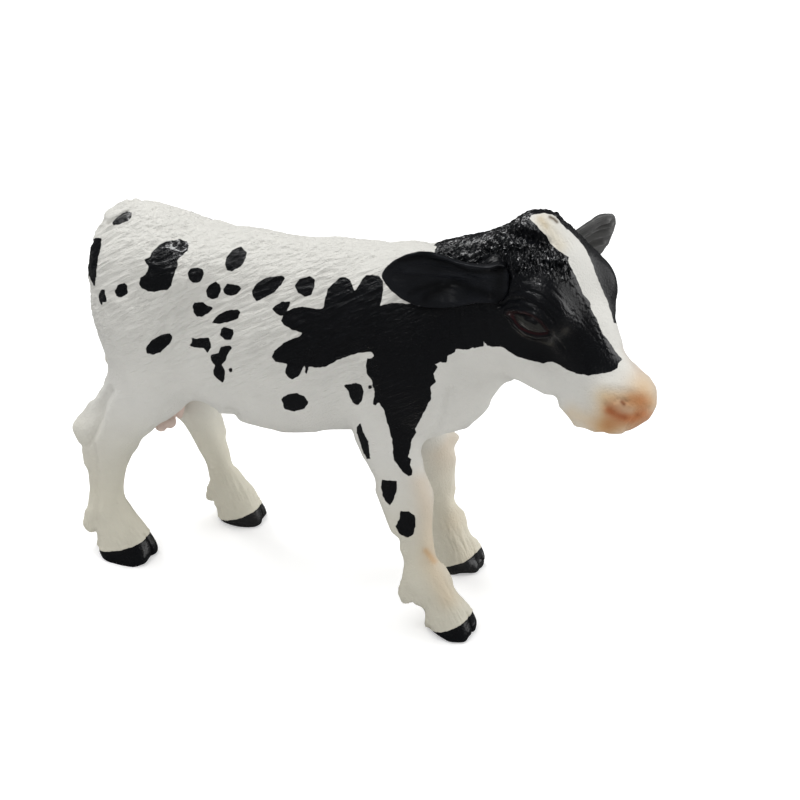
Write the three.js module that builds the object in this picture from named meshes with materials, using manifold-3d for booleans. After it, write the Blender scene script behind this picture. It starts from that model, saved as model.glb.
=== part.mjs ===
// A standing calf figurine in solid PVC, about 72 mm long, 18 mm wide and 52 mm tall.
// It is cast as ten pieces that are pegged and glued together: torso, head, two ears, four legs, tail, udder.
// X runs from the hocks to the nose, Y to the calf's left, Z up, and the hooves stand on Z = 0.
import * as THREE from "three";
import Module from "manifold-3d";
import { mergeVertices } from "three/addons/utils/BufferGeometryUtils.js";

const wasm = await Module();
wasm.setup();

// Driving dimensions, in millimetres and degrees

// Torso
const rumpX = 10.1; // along the body, measured from the point of the right hock
const loinX = 21;
const bellyX = 23.6;
const ribsX = 33.5;
const chestX = 42.6;
const backHeight = 42.8;
const rumpHeight = 43.9;
const withersHeight = 43.9;
const bellyHeight = 19.2; // clear space under the belly
const breastHeight = 22.4;
const breastFrontX = 51.4;
const tailHeadX = 2.7;
const tailHeadHeight = 43.8;
const rumpWidth = 12.2;
const hipBoneWidth = 10.6;
const bellyWidth = 15.6;
const ribsWidth = 14.8;
const chestWidth = 12.4;
const thighWidth = 13.8;
const shoulderWidth = 14.6;

// Neck and head
const neckLength = 14.5;
const neckBelowPoll = 10.4; // the middle of the neck's end, below the poll
const neckDepth = 17.5;
const throatDepth = 13.8;
const neckWidth = 10.4;
const pollX = 56.7;
const pollHeight = 52.4;
const headOffset = -0.6; // the poll lies a little to the right of the middle
const headTurn = 22; // degrees to the calf's right
const headPitch = 45; // degrees of the face below the level
const faceLength = 24.5; // from the poll to the tip of the nose
const skullWidth = 10.8;
const browWidth = 12.6;
const jawWidth = 8.2;
const jawDepth = 13.7;
const bridgeWidth = 6.6;
const muzzleWidth = 8.8;
const muzzleDepth = 8.4;
const chinDepth = 3.1;
const eyeRadius = 1.7;
const eyeAlongFace = 9.2;

// Ears
const rightEarLength = 12.5;
const leftEarLength = 7.4;
const earWidth = 5.7;
const earThickness = 1.3;
const earHollowDepth = 0.9;

// Legs: the feet stand at these places, each measured to the middle of the hoof
const rightHindFootX = 6.3;
const leftHindFootX = 15.8;
const rightForeFootX = 48.8;
const leftForeFootX = 44.7;
const hindFootSpread = 12.7; // between the middles of the two feet
const foreFootSpread = 12.8;
const stifleHeight = 24;
const hockHeight = 16.2;
const elbowHeight = 27;
const kneeHeight = 15.2;
const foreFetlockHeight = 6.4;
const thighDepth = 12.4;
const gaskinDepth = 7.6;
const hockDepth = 5.6;
const hindCannonDepth = 3.4;
const hindFetlockDepth = 4.7;
const upperArmDepth = 8.2;
const forearmDepth = 5.9;
const kneeDepth = 5.3;
const foreCannonDepth = 3.4;
const foreFetlockDepth = 4.6;
const legFlatness = 0.86; // width of a leg as a share of its depth
const hoofWidth = 4.5;
const hoofHeight = 2.8;
const cleftWidth = 0.5;
const cleftLength = 3.4;
const dewclawRadius = 0.75;

// Tail and udder
const tailDrop = 25.5;
const tailThickness = 1.9;
const tuftThickness = 3;
const tuftLength = 8;
const udderX = 9.4;
const udderWidth = 5;
const udderDepth = 5.2;
const teatLength = 1.9;
const teatThickness = 1.3;

// Joins
const glueGap = 0.24; // between two glued faces
const keelHalfWidth = 1.5; // of the torso between two legs
const pegDiameter = 4;
const pegLength = 4.4;
const smallPegDiameter = 1.7;
const smallPegLength = 2.2;
const pegClearance = 0.15;

// Fineness of the surface: the side of one sampling cell
const torsoCell = 1.55;
const headCell = 1.0;
const legCell = 1.03;
const trimCell = 0.65;

// Blending of one mass into the next
const bodyBlend = 3.2;
const headBlend = 1.5;
const legBlend = 1.3;
const fineBlend = 0.5;

const RIGHT = -1;
const LEFT = 1;
const UP = new THREE.Vector3(0, 0, 1);
const at = (x, y, z) => new THREE.Vector3(x, y, z);
const mix = THREE.MathUtils.lerp;
const radians = THREE.MathUtils.degToRad;

// Masses: each is a function that gives the distance from a point to its surface, below zero inside

function ellipsoid(centre, radii, turn = new THREE.Quaternion()) {
  const back = turn.clone().invert();
  const p = new THREE.Vector3();
  return (x, y, z) => {
    p.set(x - centre.x, y - centre.y, z - centre.z).applyQuaternion(back);
    const near = Math.hypot(p.x / radii.x, p.y / radii.y, p.z / radii.z);
    const slope = Math.hypot(p.x / radii.x ** 2, p.y / radii.y ** 2, p.z / radii.z ** 2);
    return slope === 0 ? -Math.min(radii.x, radii.y, radii.z) : (near * (near - 1)) / slope;
  };
}

// A tapered limb between two balls; flat narrows it sideways
function limb(start, end, startDepth, endDepth, flat = 1) {
  const startRadius = startDepth / 2;
  const endRadius = endDepth / 2;
  const dx = end.x - start.x;
  const dy = (end.y - start.y) / flat;
  const dz = end.z - start.z;
  const lengthSquared = dx * dx + dy * dy + dz * dz;
  return (x, y, z) => {
    const px = x - start.x;
    const py = (y - start.y) / flat;
    const pz = z - start.z;
    const along = THREE.MathUtils.clamp((px * dx + py * dy + pz * dz) / lengthSquared, 0, 1);
    const away = Math.hypot(px - along * dx, py - along * dy, pz - along * dz);
    return (away - mix(startRadius, endRadius, along)) * flat;
  };
}

function blended(a, b, reach) {
  const h = Math.max(reach - Math.abs(a - b), 0) / reach;
  return Math.min(a, b) - (h * h * reach) / 4;
}

function union(masses, reach) {
  return (x, y, z) => {
    let distance = masses[0](x, y, z);
    for (let i = 1; i < masses.length; i++) {
      distance = blended(distance, masses[i](x, y, z), reach);
    }
    return distance;
  };
}

// The surface where a field is zero, as one closed mesh: a vertex for each group of inside corners in a cell
function surfaceOf(field, low, high, cell) {
  const count = [0, 1, 2].map((k) => Math.ceil((high.getComponent(k) - low.getComponent(k)) / cell) + 1);
  const index = (i, j, k) => i + count[0] * (j + count[1] * k);
  const place = (i, k) => low.getComponent(k) + i * cell;
  const values = new Float32Array(count[0] * count[1] * count[2]);
  for (let k = 0; k < count[2]; k++) {
    for (let j = 0; j < count[1]; j++) {
      for (let i = 0; i < count[0]; i++) {
        const rim = i * j * k === 0 || i === count[0] - 1 || j === count[1] - 1 || k === count[2] - 1;
        const value = field(place(i, 0), place(j, 1), place(k, 2));
        values[index(i, j, k)] = rim ? Math.max(value, cell / 10) : value;
      }
    }
  }
  const vertexOf = new Int32Array(values.length * 8);
  const positions = [];
  for (let k = 0; k < count[2] - 1; k++) {
    for (let j = 0; j < count[1] - 1; j++) {
      for (let i = 0; i < count[0] - 1; i++) {
        const corners = CORNERS.map(([a, b, c]) => values[index(i + a, j + b, k + c)]);
        for (const [group, vertex] of cellVertices(corners)) {
          group.forEach((corner) => {
            vertexOf[index(i, j, k) * 8 + corner] = positions.length / 3;
          });
          const [x, y, z] = vertex.toArray();
          positions.push(place(i, 0) + x * cell, place(j, 1) + y * cell, place(k, 2) + z * cell);
        }
      }
    }
  }
  const triangles = [];
  for (let k = 0; k < count[2] - 1; k++) {
    for (let j = 0; j < count[1] - 1; j++) {
      for (let i = 0; i < count[0] - 1; i++) {
        addCrossings(triangles, values, vertexOf, index, i, j, k);
      }
    }
  }
  settle(positions, field, cell);
  const geometry = new THREE.BufferGeometry();
  geometry.setAttribute("position", new THREE.Float32BufferAttribute(positions, 3));
  geometry.setIndex(triangles);
  return geometry;
}

const CORNERS = [0, 1, 2, 3, 4, 5, 6, 7].map((n) => [n & 1, (n >> 1) & 1, n >> 2]);
const CELL_EDGES = CORNERS.flatMap((corner, m) =>
  [0, 1, 2].filter((k) => corner[k] === 0).map((k) => [m, m | (1 << k)]),
);

// For each group of joined inside corners, the mean of the points where the surface cuts the edges leaving it
function cellVertices(corners) {
  const inside = corners.map((value) => value < 0);
  if (inside.every((one) => one === inside[0])) {
    return [];
  }
  const groupOf = corners.map((_, m) => m);
  for (const [m, n] of CELL_EDGES) {
    if (inside[m] && inside[n]) {
      const [kept, joined] = [groupOf[m], groupOf[n]];
      groupOf.forEach((group, corner) => {
        groupOf[corner] = group === joined ? kept : group;
      });
    }
  }
  const vertices = [];
  for (const group of new Set(groupOf.filter((_, m) => inside[m]))) {
    const members = groupOf.map((_, m) => m).filter((m) => inside[m] && groupOf[m] === group);
    const leaves = ([m, n]) => members.includes(m) !== members.includes(n) && inside[m] !== inside[n];
    const cuts = CELL_EDGES.filter(leaves);
    const sum = at(0, 0, 0);
    for (const [m, n] of cuts) {
      const share = corners[m] / (corners[m] - corners[n]);
      sum.add(at(...[0, 1, 2].map((k) => mix(CORNERS[m][k], CORNERS[n][k], share))));
    }
    vertices.push([members, sum.divideScalar(cuts.length)]);
  }
  return vertices;
}

// Each grid edge that the surface crosses gets two triangles between the four cells round it
const AROUND = [
  [[1, 0, 0], [0, -1, 0], [0, 0, -1]],
  [[0, 1, 0], [0, 0, -1], [-1, 0, 0]],
  [[0, 0, 1], [-1, 0, 0], [0, -1, 0]],
];

function addCrossings(triangles, values, vertexOf, index, i, j, k) {
  const here = values[index(i, j, k)] < 0;
  for (const [along, u, v] of AROUND) {
    if (here === values[index(i + along[0], j + along[1], k + along[2])] < 0) {
      continue;
    }
    const inner = here ? [0, 0, 0] : along;
    const vertexAt = (shift) => {
      const corner = inner.reduce((bits, step, axis) => bits | ((step - shift[axis]) << axis), 0);
      return vertexOf[index(i + shift[0], j + shift[1], k + shift[2]) * 8 + corner];
    };
    const a = vertexAt([0, 0, 0]);
    const b = vertexAt(u);
    const c = vertexAt(u.map((step, axis) => step + v[axis]));
    const d = vertexAt(v);
    if (here) {
      triangles.push(a, b, c, a, c, d);
    } else {
      triangles.push(a, c, b, a, d, c);
    }
  }
}

// Moves each vertex onto the zero of the field along its slope
function settle(positions, field, cell) {
  const step = cell / 20;
  const slope = at(0, 0, 0);
  for (let round = 0; round < 3; round++) {
    for (let n = 0; n < positions.length; n += 3) {
      const [x, y, z] = positions.slice(n, n + 3);
      slope.set(
        field(x + step, y, z) - field(x - step, y, z),
        field(x, y + step, z) - field(x, y - step, z),
        field(x, y, z + step) - field(x, y, z - step),
      );
      slope.divideScalar(2 * step);
      const wanted = field(x, y, z) / Math.max(slope.lengthSq(), 0.2);
      const move = THREE.MathUtils.clamp(wanted, -cell / 3, cell / 3);
      positions[n] -= slope.x * move;
      positions[n + 1] -= slope.y * move;
      positions[n + 2] -= slope.z * move;
    }
  }
}

// Solids that are joined and cut

function solidOf(geometry, matrix = new THREE.Matrix4()) {
  const plain = geometry.clone().applyMatrix4(matrix);
  plain.deleteAttribute("normal");
  plain.deleteAttribute("uv");
  const merged = mergeVertices(plain, 1e-5);
  return new wasm.Manifold(
    new wasm.Mesh({
      numProp: 3,
      vertProperties: new Float32Array(merged.attributes.position.array),
      triVerts: new Uint32Array(merged.index.array),
    }),
  );
}

function geometryOf(solid) {
  const mesh = solid.getMesh();
  const geometry = new THREE.BufferGeometry();
  geometry.setAttribute("position", new THREE.BufferAttribute(mesh.vertProperties, 3));
  geometry.setIndex(new THREE.BufferAttribute(mesh.triVerts, 1));
  geometry.computeVertexNormals();
  return geometry;
}

// A frame at a point whose Z axis follows a direction
function frameAt(point, direction) {
  const turn = new THREE.Quaternion().setFromUnitVectors(UP, direction.clone().normalize());
  return new THREE.Matrix4().compose(point, turn, at(1, 1, 1));
}

const HALF_SPACE = 120; // side of a block that stands for all space on one side of a face

// All that lies behind a face through a point, where the face looks along a direction
function behind(point, direction) {
  const block = new THREE.BoxGeometry(HALF_SPACE, HALF_SPACE, HALF_SPACE);
  block.translate(0, 0, -HALF_SPACE / 2);
  return solidOf(block, frameAt(point, direction));
}

// A round peg that stands on a face at a point, rooted a little below it
function peg(point, direction, diameter, length, root = 1) {
  const rod = new THREE.CylinderGeometry(diameter / 2, diameter / 2, length + root, 20);
  rod.rotateX(Math.PI / 2);
  rod.translate(0, 0, (length - root) / 2);
  return solidOf(rod, frameAt(point, direction));
}

// Torso: the masses of the trunk, and the muscles that carry the legs

const thighTop = at(rumpX - 0.2, 0, (rumpHeight + stifleHeight) / 2 + 1.2);
const shoulderBlade = at(chestX - 0.6, 0, (withersHeight + elbowHeight) / 2);

function trunkMasses() {
  const bellyMiddle = (backHeight - 1 + bellyHeight) / 2;
  const ribsMiddle = (backHeight + 0.8 + bellyHeight + 2.2) / 2;
  const chestMiddle = (withersHeight - 2 + breastHeight) / 2;
  const masses = [
    ellipsoid(at(bellyX, 0, bellyMiddle), at(13, bellyWidth / 2, backHeight - 1 - bellyMiddle)),
    ellipsoid(at(ribsX, 0, ribsMiddle), at(13.5, ribsWidth / 2, backHeight + 0.8 - ribsMiddle)),
    ellipsoid(at(chestX, 0, chestMiddle),
      at(breastFrontX - chestX, chestWidth / 2, chestMiddle - breastHeight)),
    ellipsoid(at(rumpX - 0.6, 0, rumpHeight - 9), at(7.2, rumpWidth / 2, 8.6)),
    limb(at(rumpX - 2.6, 0, rumpHeight - 4.5), at(loinX, 0, backHeight - 4.2), 8.6, 8.4),
    limb(at(loinX, 0, backHeight - 4.2), at(chestX - 3, 0, withersHeight - 3.6), 8.4, 6.6),
    limb(at(tailHeadX + 1.6, 0, tailHeadHeight - 1.8), at(rumpX - 2.6, 0, rumpHeight - 2.1), 3, 4.4),
  ];
  for (const side of [RIGHT, LEFT]) {
    masses.push(
      limb(at(rumpX + 5.4, (side * hipBoneWidth) / 2 - side, rumpHeight - 4.6),
        at(tailHeadX + 3, side * 3.2, tailHeadHeight - 6.4), 3.6, 3.4),
      ellipsoid(at(thighTop.x, (side * thighWidth) / 4 + side * 0.3, thighTop.z - 3),
        at(thighDepth / 2 + 1.1, thighWidth / 4 + 0.3, 9.6)),
      limb(at(rumpX + 3.4, (side * thighWidth) / 2 - side * 3.2, stifleHeight + 3.9),
        at(bellyX - 3, (side * bellyWidth) / 2 - side * 4.2, stifleHeight + 2.8), 6.6, 5),
      ellipsoid(at(shoulderBlade.x, (side * shoulderWidth) / 4, shoulderBlade.z - 1.4),
        at(5.6, shoulderWidth / 4, 10), leanForward),
    );
  }
  return masses;
}

const leanForward = new THREE.Quaternion().setFromAxisAngle(at(0, 1, 0), radians(-12));

// Neck and head

const neckStart = at(chestX - 0.4, 0, withersHeight - neckDepth / 2 - 0.4);
const neckRise = Math.asin((pollHeight - neckBelowPoll - neckStart.z) / neckLength);
const neckWay = at(Math.cos(neckRise), -0.06, Math.sin(neckRise));
const neckEnd = neckStart.clone().addScaledVector(neckWay, neckLength);
const headPlace = new THREE.Matrix4()
  .makeTranslation(pollX, headOffset, pollHeight)
  .multiply(new THREE.Matrix4().makeRotationZ(radians(-headTurn)))
  .multiply(new THREE.Matrix4().makeRotationY(radians(headPitch)));
const headTurnOnly = new THREE.Quaternion().setFromRotationMatrix(headPlace);
// A point of the head: along the face from the poll, to the calf's left, and out of the face
const onHead = (along, left, out) => at(along, left, out).applyMatrix4(headPlace);

function neckMasses() {
  return [
    limb(neckStart, neckEnd, neckDepth, throatDepth, neckWidth / throatDepth),
    limb(at(chestX - 1, 0, withersHeight - 3), onHead(3.4, 0, -4.8), 5, 6.2),
  ];
}

function headMasses() {
  const muzzleAlong = faceLength - 3.6;
  const muzzleOut = -0.95 - muzzleDepth / 2;
  const masses = [
    ellipsoid(onHead(4.8, 0, -5.9), at(5.6, skullWidth / 2, 6), headTurnOnly),
    ellipsoid(onHead(1.5, 0, -2.7), at(2.5, 2.6, 2.5), headTurnOnly),
    limb(onHead(8.4, 0, -5.4), onHead(muzzleAlong - 1.6, 0, -5.4), 8.4, bridgeWidth),
    ellipsoid(onHead(muzzleAlong, 0, muzzleOut), at(3.7, muzzleWidth / 2, muzzleDepth / 2), headTurnOnly),
    ellipsoid(onHead(muzzleAlong - 1.2, 0, muzzleOut - chinDepth), at(3.2, 3.4, 2.8), headTurnOnly),
  ];
  for (const side of [RIGHT, LEFT]) {
    masses.push(
      limb(onHead(8.4, (side * jawWidth) / 2 - side * 1.9, 1.9 - jawDepth),
        onHead(muzzleAlong - 3, side * 1.5, 5.5 - jawDepth), 7.4, 4.4),
      ellipsoid(onHead(8.3, (side * browWidth) / 2 - side * 2.6, -3.7), at(3.8, 2.7, 3), headTurnOnly),
      ellipsoid(onHead(eyeAlongFace, (side * browWidth) / 2 - side * 1.5, -5.2),
        at(eyeRadius, eyeRadius, eyeRadius)),
    );
  }
  return masses;
}

// Legs: each hangs from its shoulder or thigh through its joints to a cloven hoof

const hindLegs = {
  right: {
    side: RIGHT,
    hockX: 4.2,
    hockPointX: 0.95,
    fetlockX: 3.8,
    fetlockHeight: 5.8,
    footX: rightHindFootX,
    hoofLength: 6.9,
  },
  left: {
    side: LEFT,
    hockX: 10.4,
    hockPointX: 8.1,
    fetlockX: 13.8,
    fetlockHeight: 5.3,
    footX: leftHindFootX,
    hoofLength: 6.1,
  },
};
const foreLegs = {
  right: { side: RIGHT, kneeX: 43.5, fetlockX: 45.8, footX: rightForeFootX, hoofLength: 6.3 },
  left: { side: LEFT, kneeX: 41.6, fetlockX: 43.2, footX: leftForeFootX, hoofLength: 6.2 },
};

function hindLegMasses({ side, hockX, hockPointX, fetlockX, fetlockHeight, footX, hoofLength }) {
  const footY = (side * hindFootSpread) / 2;
  const hipY = (side * thighWidth) / 2 - side * 2.6;
  const stifle = at(mix(rumpX + 1.6, hockX + 5, 0.5), mix(hipY, footY, 0.3), stifleHeight);
  const hock = at(hockX, mix(hipY, footY, 0.35), hockHeight);
  const point = at(hockPointX, hock.y, hockHeight + 0.1);
  const fetlock = at(fetlockX, mix(hock.y, footY, 0.8), fetlockHeight);
  const tendonTop = at(stifle.x - 3.4, stifle.y, stifleHeight + 2.4);
  const tendonFoot = at(fetlock.x - hindFetlockDepth / 2 + 1.2, fetlock.y, fetlockHeight + 1);
  return [
    limb(at(thighTop.x, hipY, thighTop.z - 3), stifle, thighDepth, gaskinDepth + 1, 0.72),
    limb(stifle, hock, gaskinDepth, hockDepth, legFlatness),
    limb(tendonTop, point, 2.8, 2.2),
    limb(point, hock, 2.4, hockDepth - 0.6, legFlatness),
    limb(hock, fetlock, hockDepth, hindCannonDepth, legFlatness),
    limb(at(point.x + 1.1, point.y, point.z - 2), tendonFoot, 2.2, 2),
    ...footMasses(fetlock, hindFetlockDepth, footX, footY, hoofLength),
  ];
}

function foreLegMasses({ side, kneeX, fetlockX, footX, hoofLength }) {
  const footY = (side * foreFootSpread) / 2;
  const armY = (side * shoulderWidth) / 2 - side * 2.9;
  const elbow = at(chestX - 3.3, armY, elbowHeight);
  const knee = at(kneeX, mix(armY, footY, 0.6), kneeHeight);
  const fetlock = at(fetlockX, mix(knee.y, footY, 0.8), foreFetlockHeight);
  const forearmEnd = elbow.clone().lerp(knee, 0.8);
  const shin = knee.clone().lerp(fetlock, 0.5);
  return [
    limb(elbow, forearmEnd, upperArmDepth, forearmDepth, legFlatness),
    limb(at(knee.x, knee.y, kneeHeight + 1.3), at(knee.x, knee.y, kneeHeight - 1.3),
      kneeDepth + 0.6, kneeDepth, legFlatness),
    limb(knee, shin, kneeDepth - 0.8, foreCannonDepth, legFlatness),
    limb(shin, fetlock, foreCannonDepth, foreFetlockDepth, legFlatness),
    ...footMasses(fetlock, foreFetlockDepth, footX, footY, hoofLength),
  ];
}

// Fetlock, pastern, dewclaws and the two claws of one foot
function footMasses(fetlock, fetlockDepth, footX, footY, hoofLength) {
  const coronet = at(footX - 0.5, footY, hoofHeight + 0.3);
  const clawHeight = 0.6;
  const masses = [
    limb(fetlock, coronet, fetlockDepth, hoofWidth + 0.2, 0.96),
    ellipsoid(at(footX - 0.3, footY, hoofHeight - 0.9),
      at(hoofLength / 2 - 0.5, hoofWidth / 2 - 0.1, hoofHeight)),
  ];
  for (const side of [RIGHT, LEFT]) {
    const clawY = footY + (side * hoofWidth) / 4;
    const dewclawX = fetlock.x - fetlockDepth / 2;
    masses.push(
      ellipsoid(at(footX, clawY, clawHeight), at(hoofLength / 2, hoofWidth / 4 + 0.35, 2.1)),
      limb(at(dewclawX + 0.2, fetlock.y + side, fetlock.z - 1.6),
        at(dewclawX - 0.1, fetlock.y + side, fetlock.z - 2.6), 2 * dewclawRadius, 1.6 * dewclawRadius),
    );
  }
  return masses;
}

// The notch between the two claws, open in front and below
function cleft(toeX, footY) {
  const notch = new THREE.BoxGeometry(cleftLength, cleftWidth, hoofHeight);
  return solidOf(notch, new THREE.Matrix4().makeTranslation(toeX, footY, hoofHeight * 0.2));
}

// Ears: a leaf with a hollow face, on a short stalk

const ears = {
  right: { side: RIGHT, length: rightEarLength, sweep: -159, rise: 0, roll: 4 },
  left: { side: LEFT, length: leftEarLength, sweep: 33, rise: 24, roll: -150 },
};

function earParts({ side, length, sweep, rise, roll }) {
  const turn = new THREE.Quaternion()
    .setFromAxisAngle(UP, radians(sweep))
    .multiply(new THREE.Quaternion().setFromAxisAngle(at(0, 1, 0), radians(-rise)))
    .multiply(new THREE.Quaternion().setFromAxisAngle(at(1, 0, 0), radians(roll)));
  const base = onHead(3.6, side * (skullWidth / 2 - 0.9), -7);
  // A point of the ear: along it, out of its hollow face, and across it
  const onEar = (along, out, across) => at(along, out, across).applyQuaternion(turn).add(base);
  const leaf = union(
    [
      ellipsoid(onEar(length * 0.54, 0, 0), at(length * 0.46, earThickness, earWidth / 2), turn),
      ellipsoid(onEar(length * 0.26, 0, 0), at(length * 0.3, earThickness, earWidth * 0.4), turn),
    ],
    earThickness,
  );
  const hollowRadii = at(length * 0.34, earHollowDepth + 1, earWidth / 2 - 0.6);
  const hollow = ellipsoid(onEar(length * 0.6, 2, 0), hollowRadii, turn);
  const shape = (x, y, z) => Math.max(leaf(x, y, z), -hollow(x, y, z));
  return { base, way: onEar(-1, 0, 0).sub(base), shape, tip: onEar(length, 0, 0) };
}

// Tail and udder

const tailRoot = at(tailHeadX + 1.2, 0, tailHeadHeight - 2.4);
const tailBend = at(tailHeadX - 1.1, 0.3, tailHeadHeight - 5.2);

function tailMasses() {
  const tuftTop = at(tailHeadX - 0.9, 0.7, tailHeadHeight - tailDrop + tuftLength);
  const tip = at(tailHeadX - 0.2, 0.9, tailHeadHeight - tailDrop + 0.5);
  const tuftMiddle = tuftTop.clone().lerp(tip, 0.4);
  return [
    limb(tailRoot, tailBend, tailThickness + 0.2, tailThickness),
    limb(tailBend, tuftTop, tailThickness, tailThickness - 0.3),
    limb(tuftTop, tuftMiddle, tailThickness - 0.2, tuftThickness),
    limb(tuftMiddle, tip, tuftThickness, 0.9),
  ];
}

const udderTop = stifleHeight - 1;

function udderMasses() {
  const bagRadii = at(3.2, udderWidth / 2, udderDepth / 2 + 1);
  const bag = ellipsoid(at(udderX, 0, udderTop - udderDepth / 2 + 1), bagRadii);
  const teats = [RIGHT, LEFT].flatMap((side) =>
    [udderX - 1.1, udderX + 1.1].map((x) =>
      limb(at(x, side * 1.1, udderTop - udderDepth + 0.9),
        at(x - 0.2, side * 1.3, udderTop - udderDepth - teatLength + teatThickness / 2),
        teatThickness, teatThickness * 0.8),
    ),
  );
  return [bag, ...teats];
}

// The whole body as one field, before it is cut into its pieces

const trunk = union([...trunkMasses(), ...neckMasses()], bodyBlend);
const skull = union(headMasses(), headBlend);
const legs = [
  ...Object.values(hindLegs).map((leg) => union(hindLegMasses(leg), legBlend)),
  ...Object.values(foreLegs).map((leg) => union(foreLegMasses(leg), legBlend)),
];
const body = union([trunk, skull, ...legs], headBlend);

// Cuts: each has a point on its face and the way from the smaller piece towards the torso

const neckCut = {
  point: at(chestX + 5.8, 0, withersHeight - 5.6),
  way: neckWay.clone().negate().normalize(),
  walls: [],
};

function hindCut(side) {
  return {
    point: at(rumpX, (side * thighWidth) / 3, stifleHeight + 3),
    way: at(0.42, -side * 0.3, 0.86).normalize(),
    walls: [
      { point: at(0, side * keelHalfWidth, 0), way: at(0, -side, 0) },
      { point: at(bellyX + 2, 0, 0), way: at(1, 0, 0) },
    ],
  };
}

function foreCut(side) {
  return {
    point: at(chestX - 2, (side * shoulderWidth) / 3.2, elbowHeight - 1.6),
    way: at(-0.12, -side * 0.42, 0.9).normalize(),
    walls: [
      { point: at(0, side * keelHalfWidth, 0), way: at(0, -side, 0) },
      { point: at(chestX - 7.4, 0, 0), way: at(-1, 0, 0) },
    ],
  };
}

// All that one cut takes from the torso; a positive margin takes more, a negative one less
function takenBy(cut, margin) {
  const face = cut.point.clone().addScaledVector(cut.way, margin);
  const within = (region, wall) =>
    region.intersect(behind(wall.point.clone().addScaledVector(wall.way, margin), wall.way));
  return cut.walls.reduce(within, behind(face, cut.way));
}

const ground = behind(at(0, 0, 0), UP);
const FLOOR = -1.5; // the masses of the hooves reach a little below the ground, where they are cut flat
const sideReach = shoulderWidth / 2 + 3.7; // past the hooves and the turned head
const noseReach = pollX + faceLength * 0.75;
const box = { low: at(-3, -sideReach, FLOOR), high: at(noseReach, sideReach, pollHeight + 1.6) };

// The part of the body in a block, less what is under the ground
function bodyWithin(low, high, cell) {
  return solidOf(surfaceOf(body, low, high, cell)).subtract(ground);
}

const onFace = (cut, margin) => cut.point.clone().addScaledVector(cut.way, margin);
const pegOn = (cut) => peg(onFace(cut, -glueGap / 2), cut.way, pegDiameter, pegLength);
const socketFor = (cut) =>
  peg(onFace(cut, 0), cut.way, pegDiameter + 2 * pegClearance, pegLength + pegClearance);

// A limb or the head: its own part of the body, with a peg on its cut face
function cutPiece(cut, low, high, cell) {
  return bodyWithin(low, high, cell).intersect(takenBy(cut, -glueGap / 2)).add(pegOn(cut));
}

// A small piece that follows the body's surface with the glue gap, with a thin peg into it
function fittedPiece(shape, low, high, pegPoint, pegWay, pegRoot) {
  const clear = (x, y, z) => Math.max(shape(x, y, z), glueGap - body(x, y, z));
  return solidOf(surfaceOf(clear, low, high, trimCell)).add(
    peg(pegPoint, pegWay, smallPegDiameter, smallPegLength, pegRoot),
  );
}

const smallSocket = (point, way) =>
  peg(point, way, smallPegDiameter + 2 * pegClearance, smallPegLength + pegClearance, smallPegLength + 1);

function blockRound(points, margin) {
  const block = new THREE.Box3().setFromPoints(points).expandByScalar(margin);
  block.min.z = Math.max(block.min.z, FLOOR);
  return block;
}

const whitePvc = { color: 0xe9e7e2, roughness: 0.42, metalness: 0 };
const blackPaint = { color: 0x16171a, roughness: 0.28, metalness: 0 };
const pinkPvc = { color: 0xe6c3b4, roughness: 0.45, metalness: 0 };

const calf = new THREE.Group();

function addPiece(name, solid, finish) {
  const mesh = new THREE.Mesh(geometryOf(solid), new THREE.MeshStandardMaterial(finish));
  mesh.name = name;
  calf.add(mesh);
}

let torso = bodyWithin(box.low, box.high, torsoCell);
let head = cutPiece(neckCut, at(chestX - 4, box.low.y, breastHeight + 1.6), box.high, headCell);
torso = torso.subtract(takenBy(neckCut, glueGap / 2)).subtract(socketFor(neckCut));

for (const [name, leg] of Object.entries(hindLegs)) {
  const cut = hindCut(leg.side);
  const low = at(box.low.x, Math.min(leg.side * sideReach, 0) - 0.3, FLOOR);
  const high = at(bellyX + 3, Math.max(leg.side * sideReach, 0) + 0.3, stifleHeight + 10);
  const foot = cleft(leg.footX + leg.hoofLength / 2, (leg.side * hindFootSpread) / 2);
  addPiece("hind_leg_" + name, cutPiece(cut, low, high, legCell).subtract(foot), whitePvc);
  torso = torso.subtract(takenBy(cut, glueGap / 2)).subtract(socketFor(cut));
}
for (const [name, leg] of Object.entries(foreLegs)) {
  const cut = foreCut(leg.side);
  const low = at(chestX - 10, Math.min(leg.side * sideReach, 0) - 0.3, FLOOR);
  const high = at(chestX + 11, Math.max(leg.side * sideReach, 0) + 0.3, elbowHeight + 8);
  const foot = cleft(leg.footX + leg.hoofLength / 2, (leg.side * foreFootSpread) / 2);
  addPiece("fore_leg_" + name, cutPiece(cut, low, high, legCell).subtract(foot), whitePvc);
  torso = torso.subtract(takenBy(cut, glueGap / 2)).subtract(socketFor(cut));
}
for (const [name, ear] of Object.entries(ears)) {
  const { base, way, shape, tip } = earParts(ear);
  const block = blockRound([base, tip], earWidth);
  const pegRoot = smallPegLength + 0.8;
  addPiece("ear_" + name, fittedPiece(shape, block.min, block.max, base, way, pegRoot), blackPaint);
  head = head.subtract(smallSocket(base, way));
}

const tailShape = union(tailMasses(), fineBlend);
const tailBlock = blockRound([tailRoot, at(tailHeadX, 0, tailHeadHeight - tailDrop)], 4);
const intoRump = at(1, 0, 0);
addPiece("tail", fittedPiece(tailShape, tailBlock.min, tailBlock.max, tailBend, intoRump, 0.5), whitePvc);
torso = torso.subtract(smallSocket(tailBend, intoRump));

const udderShape = union(udderMasses(), fineBlend);
const udderPlace = at(udderX, 0, udderTop);
const udderBlock = blockRound([udderPlace, at(udderX, 0, udderTop - udderDepth - teatLength)], udderWidth);
const udder = fittedPiece(udderShape, udderBlock.min, udderBlock.max, udderPlace, UP, smallPegLength);
addPiece("udder", udder, pinkPvc);
torso = torso.subtract(smallSocket(udderPlace, UP));

addPiece("head", head, whitePvc);
addPiece("torso", torso, whitePvc);

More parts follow.
